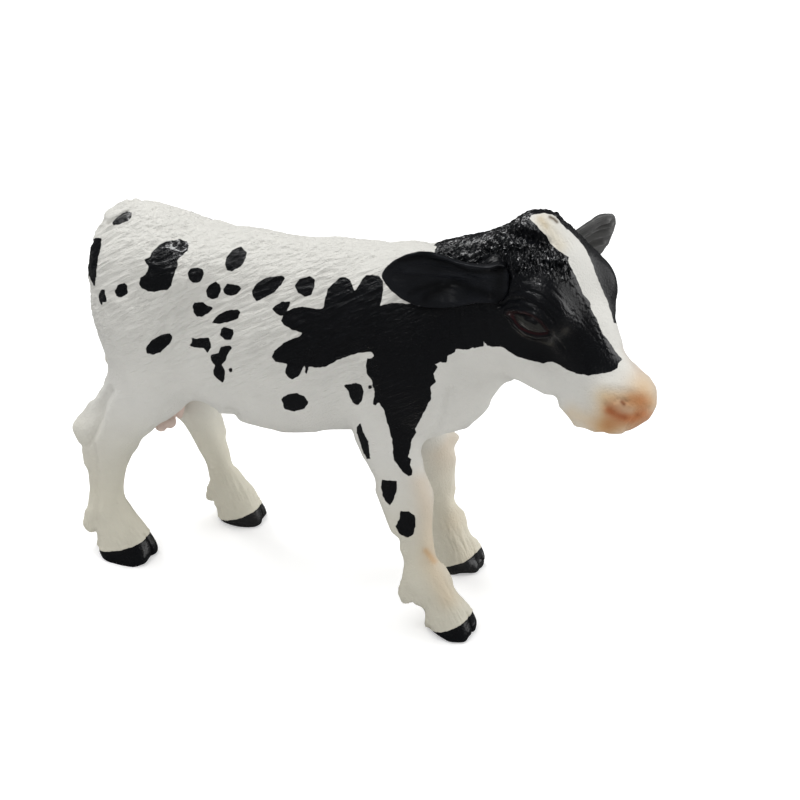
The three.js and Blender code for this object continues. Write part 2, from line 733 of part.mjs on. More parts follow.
const bounds = new THREE.Box3().setFromObject(calf);
calf.position.set(-(bounds.min.x + bounds.max.x) / 2, -(bounds.min.y + bounds.max.y) / 2, 0);

export default calf;
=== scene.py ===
from math import radians

import bpy
import numpy as np
from mathutils import Matrix, Vector, noise


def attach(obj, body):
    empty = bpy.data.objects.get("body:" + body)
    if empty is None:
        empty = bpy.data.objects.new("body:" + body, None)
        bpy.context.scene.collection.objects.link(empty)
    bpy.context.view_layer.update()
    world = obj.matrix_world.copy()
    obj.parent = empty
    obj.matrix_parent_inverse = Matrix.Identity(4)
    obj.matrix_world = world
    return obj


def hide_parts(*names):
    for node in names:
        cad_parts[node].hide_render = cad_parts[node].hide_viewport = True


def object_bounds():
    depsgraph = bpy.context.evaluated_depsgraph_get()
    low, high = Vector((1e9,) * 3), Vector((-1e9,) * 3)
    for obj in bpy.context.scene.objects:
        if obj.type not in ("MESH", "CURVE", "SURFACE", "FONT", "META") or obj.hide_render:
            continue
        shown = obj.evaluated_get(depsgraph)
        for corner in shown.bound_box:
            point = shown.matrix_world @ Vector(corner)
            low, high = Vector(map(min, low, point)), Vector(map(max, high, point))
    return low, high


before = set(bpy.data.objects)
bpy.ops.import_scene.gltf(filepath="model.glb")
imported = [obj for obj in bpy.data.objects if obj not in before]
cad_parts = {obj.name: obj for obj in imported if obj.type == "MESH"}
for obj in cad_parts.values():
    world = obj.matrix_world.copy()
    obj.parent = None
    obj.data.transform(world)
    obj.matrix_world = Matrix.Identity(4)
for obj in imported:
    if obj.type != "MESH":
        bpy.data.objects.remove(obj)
cad_low, cad_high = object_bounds()


# Camera
# The picture is taken from the calf's right, a little in front of it and from above, with a long lens.
# What is painted or carved where the picture shows it is laid out on that picture, 800 pixels wide.

mm = 0.001
camera_place = Vector((77.235, -179.007, 135.354)) * mm
camera_aim = Vector((4.548, 0, 25.6)) * mm
sensor_side = 36
lens_length = 87.4665
nearest_seen = 10 * mm
furthest_seen = 5

bpy.ops.object.camera_add(location=camera_place)
camera = bpy.context.object
camera.name = "picture_camera"
camera.rotation_euler = (camera_aim - camera_place).to_track_quat("-Z", "Y").to_euler()
camera.data.sensor_width = sensor_side
camera.data.lens = lens_length
camera.data.clip_start = nearest_seen
camera.data.clip_end = furthest_seen
bpy.context.scene.camera = camera
bpy.context.view_layer.update()


# Body
# Torso, head and legs are one sculpture in solid PVC, whose masses run into each other, cut into castings
# that are glued together. It is modelled whole from the solids, and cut again along the same joints.

body_nodes = ["torso", "head", "hind_leg_right", "hind_leg_left", "fore_leg_right", "fore_leg_left"]
doubles_apart = 0.002 * mm
body_voxel = 0.2 * mm
body_smoothing = 36
# The solids are grown until they close the glue gaps, made one, and drawn back in
gap_cover = 0.2 * mm
drawn_back = 0.12 * mm


def choose(*pieces):
    """Selects these objects and nothing else."""
    bpy.ops.object.select_all(action="DESELECT")
    for piece in pieces:
        piece.select_set(True)
    bpy.context.view_layer.objects.active = pieces[0]


def finished_with(piece, kind, **settings):
    """Gives a piece a modifier and applies it."""
    choose(piece)
    modifier = piece.modifiers.new(kind.lower(), kind)
    for name, value in settings.items():
        setattr(modifier, name, value)
    bpy.ops.object.modifier_apply(modifier=modifier.name)


def grow(piece, distance):
    """Moves a piece's surface outwards, or inwards where the distance is below zero."""
    finished_with(piece, "DISPLACE", strength=distance, mid_level=0, direction="NORMAL")


def make_one(piece, voxel, rounds):
    """Grows all that overlaps in a piece into one closed skin of small faces, and smooths it."""
    finished_with(piece, "REMESH", mode="VOXEL", voxel_size=voxel, adaptivity=0)
    finished_with(piece, "SMOOTH", factor=0.5, iterations=rounds)


def cad_copy(node):
    """A free copy of a solid's mesh, with its doubles merged."""
    copy = bpy.data.objects.new("casting_" + node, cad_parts[node].data.copy())
    copy.data.materials.clear()
    bpy.context.collection.objects.link(copy)
    choose(copy)
    bpy.ops.object.mode_set(mode="EDIT")
    bpy.ops.mesh.select_all(action="SELECT")
    bpy.ops.mesh.remove_doubles(threshold=doubles_apart)
    bpy.ops.object.mode_set(mode="OBJECT")
    return copy


castings = [cad_copy(node) for node in body_nodes]
choose(*castings)
bpy.ops.object.join()
body = bpy.context.object
body.name = "body"
grow(body, gap_cover)
make_one(body, body_voxel, body_smoothing)
grow(body, -drawn_back)


# The sculptor's work on the body
# The face, the folds and the hair are carved in the same PVC. They are laid out on the picture, and there
# the surface is pressed in or raised along its normals. The face and the feet get finer faces for it.

# The head's own frame: from the poll along the face, to the calf's left, and out of the face
poll = np.array((21.388, -0.6, 52.4)) * mm
head_turn = radians(22)
head_pitch = radians(45)
head_axes = np.array(
    Matrix.Rotation(-head_turn, 3, "Z") @ Matrix.Rotation(head_pitch, 3, "Y")
)
down_face = head_axes[:, 0]
# The finer faces: from the poll down, not far to the left nor deep into the jaw, and low on the feet
fine_from_poll = 0.5 * mm
fine_to_left = 3 * mm
fine_depth = 8.4 * mm
fine_front = 17 * mm
fine_feet_height = 4.5 * mm


def vectors_of(items, name):
    """A vector of each point or face, one row for each."""
    values = np.empty(len(items) * 3, np.float32)
    items.foreach_get(name, values)
    return values.reshape(-1, 3).astype(float)


def on_head(points):
    """Points in the head's own frame."""
    return (points - poll) @ head_axes


bpy.context.view_layer.objects.active = body
bpy.ops.object.mode_set(mode="EDIT")
bpy.ops.mesh.select_all(action="DESELECT")
bpy.ops.object.mode_set(mode="OBJECT")
centres = vectors_of(body.data.polygons, "center")
down, leftwards, outwards = on_head(centres).T
fine = (down > fine_from_poll) & (leftwards < fine_to_left)
fine &= (outwards > -fine_depth) & (centres[:, 0] > fine_front)
fine |= centres[:, 2] < fine_feet_height
body.data.polygons.foreach_set("select", fine)
bpy.ops.object.mode_set(mode="EDIT")
bpy.ops.mesh.subdivide(number_cuts=1)
bpy.ops.object.mode_set(mode="OBJECT")


def points_of(piece):
    return vectors_of(piece.data.vertices, "co")


def normals_of(piece):
    return vectors_of(piece.data.vertices, "normal")


def move_points(piece, points):
    """Moves a piece's points, and keeps them inside the box of the solids."""
    inside = np.clip(points, np.array(cad_low), np.array(cad_high))
    piece.data.vertices.foreach_set("co", inside.ravel())
    piece.data.update()


# The picture's side in pixels, and about how many of them a millimetre of the calf takes up
picture_side = 800
pixels_per_mm = 8.35


def picture_points(points):
    """Where the camera sees points, in pixels from the picture's top left corner."""
    turn = np.array(camera.matrix_world.to_3x3())
    seen = (points - np.array(camera_place)) @ turn
    scale = picture_side * lens_length / sensor_side / -seen[:, 2:]
    return picture_side / 2 + seen[:, :2] * scale * (1, -1)


def picture_way(right, down):
    """The direction that runs this way across the picture."""
    return camera.matrix_world.to_3x3() @ Vector((right, -down, 0))


def ramp(values, start, end):
    """Runs smoothly from 0 at start to 1 at end."""
    share = np.clip((values - start) / (end - start), 0, 1)
    return share * share * (3 - 2 * share)


def bell(away, half_width):
    """1 on a line, falling off smoothly to both sides of it."""
    return np.exp(-((away / half_width) ** 2))


# Along X, the head's own frame takes over from the torso's between these two places
neck_ends = np.array((11, 20)) * mm
# The left side takes over from the right across the torso's middle, and just past the head's outline
midline = np.array((-0.2, 0.2)) * mm
head_outline = (-0.05, 0.25)


def mirrored(points):
    """The points' places on the calf's other side: the torso's middle is Y = 0, the head's is its own."""
    in_head = ramp(points[:, 0], *neck_ends)[:, None]
    over_torso = points * (1, -1, 1)
    over_head = (on_head(points) * (1, -1, 1)) @ head_axes.T + poll
    return over_torso + (over_head - over_torso) * in_head


def facing_camera(points, normals):
    """1 where the surface faces the camera, 0 at its outline in the picture, below zero behind it."""
    towards_camera = np.array(camera_place) - points
    towards_camera /= np.linalg.norm(towards_camera, axis=1)[:, None]
    return np.einsum("ij,ij->i", towards_camera, normals)


def on_left(points, normals):
    """0 where the calf's right side shows in the picture, 1 on its left side."""
    in_head = ramp(points[:, 0], *neck_ends)
    torso_side = ramp(points[:, 1], *midline)
    head_side = ramp(-facing_camera(points, normals), *head_outline)
    return torso_side + (head_side - torso_side) * in_head


# Further from an outline than this, in its own unit, how far no longer matters
outline_reach = 14.0
far_away = 1e9
tiny = 1e-9


def inside_outline(spots, outline):
    """How far flat points lie inside a closed outline, in its own unit; below zero outside it."""
    corners = np.array(outline, float)
    low, high = corners.min(0) - outline_reach, corners.max(0) + outline_reach
    depth = np.full(len(spots), -outline_reach)
    near = np.nonzero(((spots > low) & (spots < high)).all(1))[0]
    x, y = spots[near, 0], spots[near, 1]
    away = np.full(len(near), far_away)
    crossings = np.zeros(len(near), int)
    for (ax, ay), (bx, by) in zip(corners, np.roll(corners, -1, 0)):
        dx, dy = bx - ax, by - ay
        share = np.clip(((x - ax) * dx + (y - ay) * dy) / max(dx * dx + dy * dy, tiny), 0, 1)
        away = np.minimum(away, np.hypot(x - ax - share * dx, y - ay - share * dy))
        if ay != by:
            crossings += ((ay > y) != (by > y)) & (x < ax + (y - ay) * dx / dy)
    depth[near] = np.where(crossings % 2 == 1, away, -away)
    return depth


def from_line(spots, line):
    """How far flat points lie from an open line, in its own unit."""
    corners = np.array(line, float)
    away = np.full(len(spots), far_away)
    for start, end in zip(corners[:-1], corners[1:]):
        step = end - start
        share = np.clip((spots - start) @ step / (step @ step), 0, 1)[:, None]
        away = np.minimum(away, np.linalg.norm(spots - start - share * step, axis=1))
    return away


def noise_at(points, scale):
    """Smooth noise from -1 to 1 with lumps of about one over scale."""
    return np.array([noise.noise(point) for point in (points * scale).tolist()])


# A strand's ridge is sharp on top and falls off on both sides of it
ridge_top = 0.5
ridge_fall = 2
# Between the strands lie finer ones, this many times as fine, drawn elsewhere in the noise, and lower
finer_strands = 2.1
finer_elsewhere = 7.3
finer_height = 0.4
# Each tuft is drawn out along its way, staggered against its neighbours, and not quite as high as they are
tuft_stretch = 0.8
tuft_stagger = 0.6
tuft_height = 0.7
tuft_unevenness = 0.6


def strands(points, share, way, width, length):
    """Hair lying along a way: thin ridges and grooves, made only where its share is above 0."""
    here = np.nonzero(share > 0)[0]
    way = np.array(Vector(way).normalized())
    along = (points[here] @ way)[:, None]
    stretched = (points[here] - along * way) / width + along * way / length
    ridges = ridge_top - np.abs(noise_at(stretched, 1)) * ridge_fall
    finer_ridges = noise_at(stretched * finer_strands + finer_elsewhere, 1) * finer_height
    height = np.zeros(len(points))
    height[here] = ridges + finer_ridges
    return height * share


def locks(points, share, way, width, length):
    """Rows of tufts lying along a way: each rises from 0 to about 1 at its tip, and drops off it."""
    here = np.nonzero(share > 0)[0]
    way = np.array(Vector(way).normalized())
    along = points[here] @ way
    split = noise_at(points[here] - along[:, None] * way * tuft_stretch, 1 / width)
    row = along / length + split * tuft_stagger
    height = np.zeros(len(points))
    height[here] = (row - np.floor(row)) * (tuft_height + tuft_unevenness * split)
    return height * share


eye_opening = [
    (508.6, 312.9), (515.7, 311.8), (522.9, 314.3), (532.9, 317.1), (541.4, 322.1), (547.6, 329.5),
    (549, 333), (546.4, 333.9), (537.1, 334.6), (527.1, 331.6), (518.6, 325.4), (513.6, 317.8),
]
# The rims of the lids: how far inside the opening, half width and height, in millimetres; then the eyeball
lid_rims = [(-0.32, 0.26, 0.16), (0.05, 0.14, -0.2)]
eyeball_edge = (0.1, 0.9)
eyeball_height = 0.16
fringe = [
    (488, 240), (505, 226), (524, 219), (538, 226), (552, 246), (566, 258), (572, 272), (566, 284),
    (552, 280), (538, 277), (520, 276), (503, 272), (490, 262), (480, 250),
]
curls = [
    (560, 252), (570, 262), (582, 292), (596, 316), (612, 345), (620, 357), (608, 352), (590, 328),
    (577, 302), (564, 282), (554, 266),
]
crest = [
    (432, 246), (436, 232), (461, 226), (492, 216), (512, 206), (536, 206), (530, 222), (512, 232),
    (490, 248), (486, 266), (460, 264), (440, 256),
]
brow = [
    (512, 284), (530, 277), (556, 282), (575, 298), (594, 326), (610, 352), (596, 344), (574, 322),
    (556, 308), (530, 294), (512, 294),
]
# Each patch of hair: its outline, how its edge fades in and how it is cut, the way it lies, and the width,
# length and height of its hair, in millimetres
hair_patches = [
    (fringe, (-0.4, 0.8), locks, picture_way(0.05, 1), 0.3, 1.9, 0.3),
    (fringe, (-0.4, 0.8), strands, picture_way(0.05, 1), 0.26, 3, 0.22),
    (curls, (-0.2, 0.4), locks, down_face, 0.4, 0.9, 0.17),
    (crest, (-0.6, 0.6), strands, picture_way(80, -34), 0.36, 4.2, 0.26),
    (brow, (-0.3, 0.5), strands, picture_way(40, 44), 0.28, 3.4, 0.045),
]
# Each fold: its line and half width in the picture, and its depth in millimetres, below 0 where it is a ridge
folds = [
    ([(500, 306), (508, 300), (520, 299), (533, 304), (545, 312), (554, 322)], 2.2, 0.22),
    ([(506, 294), (520, 289), (534, 292), (547, 300), (558, 311)], 2.0, 0.08),
    ([(512, 284), (530, 279), (546, 285), (561, 297), (573, 312)], 1.8, 0.06),
    ([(506, 318), (512, 328), (522, 337), (535, 341), (549, 339)], 2.6, 0.12),
    ([(549, 333), (557, 340), (564, 350)], 1.8, 0.08),
    ([(614, 402), (618, 399.5), (624, 399), (629, 402)], 2.4, 0.12),
    ([(624, 401), (627, 402)], 2.2, 0.12),
    ([(604, 406), (609, 411), (617, 416), (628, 419), (640, 417), (650, 410)], 3.8, 0.2),
    ([(606, 399), (620, 407), (636, 409), (648, 404)], 4.2, -0.08),
    ([(600, 384), (616, 382), (634, 385)], 5.0, -0.14),
    ([(626, 434), (634, 425), (640, 419)], 2.6, 0.2),
    ([(505, 268), (508, 280), (505, 293), (498, 304)], 2.6, 0.3),
    ([(508, 232), (522, 236), (536, 239), (548, 243)], 4.6, 0.6),
    ([(446, 310), (452, 330), (453, 350)], 3.2, 0.08),
    ([(460, 308), (461, 328), (466, 346)], 3.0, 0.1),
    ([(472, 306), (476, 322), (474, 344)], 3.4, 0.07),
    ([(486, 306), (487, 322), (493, 342)], 3.0, 0.1),
    ([(376, 300), (377, 318), (375, 335), (377, 352)], 1.8, 0.1),
    ([(418, 318), (414, 345), (417, 372)], 4.0, 0.08),
    ([(452, 390), (446, 412), (439, 428), (428, 440), (423, 452)], 4.5, 0.32),
    ([(134, 207), (118, 215), (106, 223)], 1.8, 0.3),
    ([(124, 204), (112, 211), (107, 215)], 3.4, -0.2),
    ([(109, 390), (103, 403), (100, 418), (94, 432), (87, 444)], 3.6, 0.5),
    ([(116, 398), (109, 412), (104, 428), (98, 446)], 4.0, -0.16),
    ([(97, 400), (89, 414), (86, 428)], 4.0, -0.12),
    ([(93, 446), (96, 470), (97, 500), (96, 520)], 2.4, 0.24),
    ([(88, 512), (91, 526)], 4.5, -0.3),
    ([(205, 386), (190, 394), (172, 402), (163, 412)], 4.0, 0.15),
]
# Each mass is laid out the same way: where the solids are fuller than the picture, or slimmer, below 0
masses = [
    ([(88, 290), (92, 330), (98, 370)], 14, 0.4),
    ([(192, 228), (240, 243), (300, 250)], 16, 0.3),
    ([(100, 216), (114, 206)], 8, 0.2),
    ([(97, 534), (100, 550)], 7, -0.3),
    ([(104, 559), (114, 565), (128, 567), (142, 561)], 6, -0.4),
    ([(152, 562), (142, 567)], 6, 0.3),
    ([(450, 648), (464, 648)], 8, -0.55),
    ([(424, 632), (432, 642)], 5, 0.45),
    ([(632, 352), (645, 368)], 8, 0.12),
]
# Each trim is laid out the same way, and moves only the outline that the picture shows there
trims = [
    ([(356, 440), (362, 456)], 6, -0.18),
    ([(380, 492), (390, 514), (396, 528)], 10, -0.7),
    ([(401, 550), (402, 562), (402, 592)], 8, -0.7),
    ([(406, 603), (416, 604)], 6, -0.8),
    ([(445, 566), (452, 578)], 6, -0.35),
    ([(464, 513), (472, 527)], 6, -0.35),
    ([(470, 606), (477, 622), (476, 634)], 7, -0.3),
    ([(455, 460), (455, 487)], 8, -0.45),
    ([(476, 542), (485, 560), (480, 569)], 8, -0.75),
    ([(466, 430), (458, 437)], 6, -0.8),
    ([(488, 408), (472, 422)], 7, -0.45),
    ([(512, 378), (530, 385), (545, 391)], 8, -0.62),
    ([(562, 406), (566, 413), (574, 422)], 8, -0.72),
    ([(580, 426), (594, 431)], 7, -0.4),
    ([(610, 434), (622, 433)], 7, -0.22),
    ([(648, 418), (655, 406)], 6, -0.25),
    ([(490, 230), (510, 222)], 7, 0.08),
    ([(152, 432), (138, 447)], 8, -0.4),
    ([(125, 468), (125, 496)], 7, 0.32),
    ([(97, 550), (101, 560)], 5, 0.4),
    ([(76, 427), (82, 442), (87, 462)], 6, -0.42),
    ([(100, 386), (94, 396)], 5, 0.35),
    ([(84, 404), (77, 412)], 5, -0.3),
    ([(86, 524), (93, 531)], 5, -0.25),
    ([(182, 424), (199, 448), (208, 475), (209, 492)], 8, 0.5),
    ([(208, 480), (208, 493)], 4, 0.3),
    ([(210, 500), (216, 503)], 4, -0.35),
    ([(238, 464), (254, 486), (265, 502), (269, 512)], 8, 0.62),
    ([(223, 412), (227, 430)], 5, -0.4),
    ([(227, 411), (234, 415)], 5, 0.7),
    ([(285, 431), (312, 432)], 10, -0.3),
    ([(150, 200), (180, 209), (210, 217)], 8, 0.22),
    ([(392, 239), (412, 238), (430, 240)], 9, 0.4),
    ([(104, 216), (112, 208)], 6, 0.3),
    ([(93, 236), (90, 248)], 6, -0.3),
    ([(98, 222), (101, 220)], 5, 0.3),
    ([(128, 197), (131, 200)], 2.2, 0.3),
    ([(604, 258), (614, 275), (618, 295)], 8, 0.2),
    ([(613, 312), (615, 326), (620, 340)], 7, -0.25),
    ([(640, 366), (652, 382)], 7, 0.18),
]
# The body's carved hair: the way it lies, and the width, length and height of its strands in millimetres;
# the strands on the haunch are drawn out across it
haunch_hair = ((0.84, 0.0, 0.54), 0.55, 3.2, 0.16)
neck_hair = (picture_way(0.3, 1), 0.5, 3.4, 0.08)
fetlock_hair = ((-0.4, 0, 0.9), 0.5, 4, 0.09)
haunch_spread = (1, 0.6, 1)
# Where it fades in: above the flank, along the shoulder, above the belly, behind the face, below the shins
flank = np.array((27, 34)) * mm
shoulder = np.array((4, 12)) * mm
belly_line = np.array((19, 22)) * mm
behind_face = np.array((3, 7)) * mm
fetlock_top = np.array((6, 9)) * mm
# The face begins below the poll; the muzzle and the left hind shank are slimmer than their solids
face_start = np.array((3, 5)) * mm
muzzle_start = np.array((12, 16.5)) * mm
muzzle_trim = 0.42 * mm
shank_left = np.array((1, 3)) * mm
shank_behind = np.array((12, 15)) * mm
shank_foot = np.array((5, 8)) * mm
shank_top = np.array((18, 23)) * mm
shank_trim = 0.3 * mm
# The trims move only what faces the camera, or away from it, by less than about this
outline_half_width = 0.5
# Each foot: its middle on the floor, its length, and how high its hoof reaches at the heel and the toe
feet = [
    ((-29.0, -6.35), 6.9, 1.1, 3.3),
    ((-19.5, 6.35), 6.1, 0.2, 2.7),
    ((13.5, -6.4), 6.3, 0.2, 3.0),
    ((9.4, 6.4), 6.2, 0.4, 2.6),
]
foot_reach = 6
hoof_curve = 1.3
# The cleft starts this far behind the toe's tip, is full from the second place on, and ends above the hoof
cleft_length = 3
cleft_full = 2.2
cleft_half_width = 0.15
cleft_end = 0.5
cleft_depth = 0.24
# The skin stands in a low rim just above the hoof's edge
rim_height = 0.08 * mm
rim_above = 0.2 * mm
rim_half_width = 0.16 * mm


def hooves(points):
    """How far each point lies below the edge of its hoof, and how far it is in the cleft of its toes."""
    below = np.full(len(points), -1.0)
    cleft = np.zeros(len(points))
    for middle, length, heel, toe in feet:
        away = points[:, :2] / mm - middle
        height = points[:, 2] / mm
        near = np.hypot(away[:, 0], away[:, 1]) < foot_reach
        edge = heel + (toe - heel) * np.clip(away[:, 0] / length + 0.5, 0, 1) ** hoof_curve
        below = np.where(near, (edge - height) * mm, below)
        front = ramp(away[:, 0], length / 2 - cleft_length, length / 2 - cleft_full) * near
        notch = front * bell(away[:, 1], cleft_half_width)
        cleft += notch * (1 - ramp(height, toe, toe + cleft_end))
    return below, cleft


def on_face(points):
    """0 at the poll and behind it, 1 on the face."""
    return ramp(on_head(points)[:, 0], *face_start)


def carved_hair(points, share, cut, way, width, length, height):
    """Strands or locks of these millimetres, cut into the surface where they have a share, in metres."""
    return cut(points, share, way, width * mm, length * mm) * height * mm


def body_hair(points, below_hooves):
    """The height of the hair on haunch, neck and fetlocks, in metres."""
    ahead = ramp(points[:, 0], *shoulder)
    haunch = ramp(points[:, 2], *flank) * (1 - ahead)
    neck = ahead * ramp(points[:, 2], *belly_line) * (1 - ramp(on_head(points)[:, 0], *behind_face))
    fetlock = (1 - ramp(points[:, 2], *fetlock_top)) * (below_hooves < 0)
    return (
        carved_hair(points * haunch_spread, haunch, strands, *haunch_hair)
        + carved_hair(points, neck, strands, *neck_hair)
        + carved_hair(points, fetlock, strands, *fetlock_hair)
    )


def sculpt_body():
    """Carves the body: both its sides as the picture shows the right one, then its hair, trims and hooves."""
    points, normals = points_of(body), normals_of(body)
    left = on_left(points, normals)
    face = on_face(points)
    raised = -muzzle_trim * ramp(on_head(points)[:, 0], *muzzle_start)
    for places, share in ((points, 1 - left), (mirrored(points), left)):
        seen = picture_points(places)
        carved = np.zeros(len(points))
        for line, half_width, depth in folds + masses:
            carved -= bell(from_line(seen, line), half_width) * depth * mm
        opening = inside_outline(seen, eye_opening) / pixels_per_mm
        for inside, half_width, height in lid_rims:
            carved += face * height * mm * bell(opening - inside, half_width)
        carved += face * eyeball_height * mm * ramp(opening, *eyeball_edge)
        for outline, fade, *hair in hair_patches:
            patch = ramp(inside_outline(seen, outline) / pixels_per_mm, *fade) * (share > 0)
            carved += carved_hair(places, patch, *hair)
        raised += carved * share
    below, cleft = hooves(points)
    raised += body_hair(points, below)
    shank = ramp(points[:, 1], *shank_left) * ramp(-points[:, 0], *shank_behind)
    shank *= ramp(points[:, 2], *shank_foot) * (1 - ramp(points[:, 2], *shank_top))
    raised -= shank * shank_trim
    seen = picture_points(points)
    on_edge = bell(facing_camera(points, normals), outline_half_width)
    for line, half_width, depth in trims:
        raised -= on_edge * bell(from_line(seen, line), half_width) * depth * mm
    raised += rim_height * bell(below + rim_above, rim_half_width) - cleft * cleft_depth * mm
    move_points(body, points + normals * raised[:, None])


sculpt_body()


# Black paint
# The maker brushes glossy black enamel on by hand: one large field over head, neck and shoulder, and spots.
# Each outline below is where its edge shows in the picture; the calf's left side has its own spots.

field_right = [
    (432.6, 243.3), (437, 230), (480, 216), (510, 203), (545, 190), (600, 195), (634, 206), (634, 300),
    (616, 323), (621.4, 359.3), (617.9, 363.6), (617.1, 367.9), (611.4, 371.4), (601.4, 372.9),
    (588.6, 375.3), (578.6, 373.6), (568.6, 370), (560, 365), (552.9, 361.4), (542.9, 362.9),
    (534.3, 361.4), (525.7, 358.6), (517.1, 356.4), (510, 351.4), (501.4, 346.4), (493.6, 346.4),
    (487, 345), (483, 339.5), (483.8, 346), (474.3, 347.9), (472, 344.4), (470.8, 348.4),
    (462.9, 349.3), (455.7, 348.6), (455, 352.1), (447.1, 355.7), (446.4, 362.1), (440, 361.4),
    (434.3, 364.3), (437.1, 367.1), (432.9, 374.3), (435.8, 381.7), (430, 386.7), (430.8, 398.3),
    (426.7, 406.7), (421.7, 415), (415, 428.3), (415.8, 433.3), (411.7, 439.2), (410, 448.3),
    (407.5, 456.7), (410.8, 459.2), (410, 465), (412, 470), (411.7, 475), (408.3, 475.8),
    (403.3, 471.7), (394.2, 460), (392.5, 440), (390, 430), (386.7, 418.3), (383.3, 408.3),
    (378.3, 400.8), (375.8, 404.7), (373, 404.2), (375, 395), (374.2, 388.3), (371.7, 380),
    (367.1, 374.3), (366.4, 367.1), (367.1, 359.3), (371.4, 358.6), (374.6, 355.7), (372.1, 352.1),
    (367.1, 351.4), (357.1, 352.9), (345.7, 356.4), (334.3, 361.4), (325.7, 366.4), (316.7, 367.5),
    (308, 365.8), (307.5, 370), (306.3, 374.2), (305.3, 372.5), (305.8, 368.3), (304.2, 364.2),
    (301.7, 370), (298.3, 375.8), (292.5, 378.7), (287.5, 376.7), (285.3, 371.7), (287.5, 364.2),
    (283.3, 362.5), (275.8, 361.7), (272.5, 356.7), (275, 350.8), (281.7, 345), (290, 340),
    (298.3, 337.5), (303.3, 332.8), (293.3, 330), (285.8, 325.8), (280.8, 320.8), (285.8, 311.7),
    (293.3, 308.3), (305, 307.2), (313.3, 309.2), (320, 309.2), (323.6, 308.6), (325.7, 298.6),
    (328.6, 288.6), (334.3, 282.9), (340, 277.9), (345, 277.4), (350.7, 281.4), (352.9, 288.6),
    (354.6, 292.6), (357.9, 287.1), (362.9, 279.3), (366.4, 275.7), (373.6, 275.3), (379.3, 276.4),
    (382.9, 282.9), (382.9, 290), (381.4, 298.6), (379.7, 306.4), (385.7, 304.3), (397.1, 302.9),
    (408.6, 304.3), (418, 302), (428, 286), (433, 266), (435, 251.4), (437.1, 245.7),
]
blaze = [
    (536, 214), (531.5, 214.6), (529.3, 218.6), (535, 223.6), (541.4, 230.7), (546.4, 235.7),
    (550, 243.6), (557.1, 249.3), (562.9, 253.6), (568.6, 257.1), (567.9, 260.7), (571.4, 267.9),
    (575, 275), (578.6, 283.6), (582.9, 293.6), (590, 302.1), (591.4, 309.3), (597.1, 319.3),
    (601.4, 332.1), (608.6, 340.7), (614.3, 349.3), (619.3, 356.4), (640, 372), (660, 372),
    (640, 330), (614, 323), (611.4, 313.6), (607.1, 300.7), (602.9, 290.7), (597.9, 279.3),
    (592.9, 265), (588.6, 255), (582.9, 245), (575.7, 236.4), (567.1, 229.3), (560, 222.1),
    (556, 216.6), (552, 214.6), (545, 213.4),
]
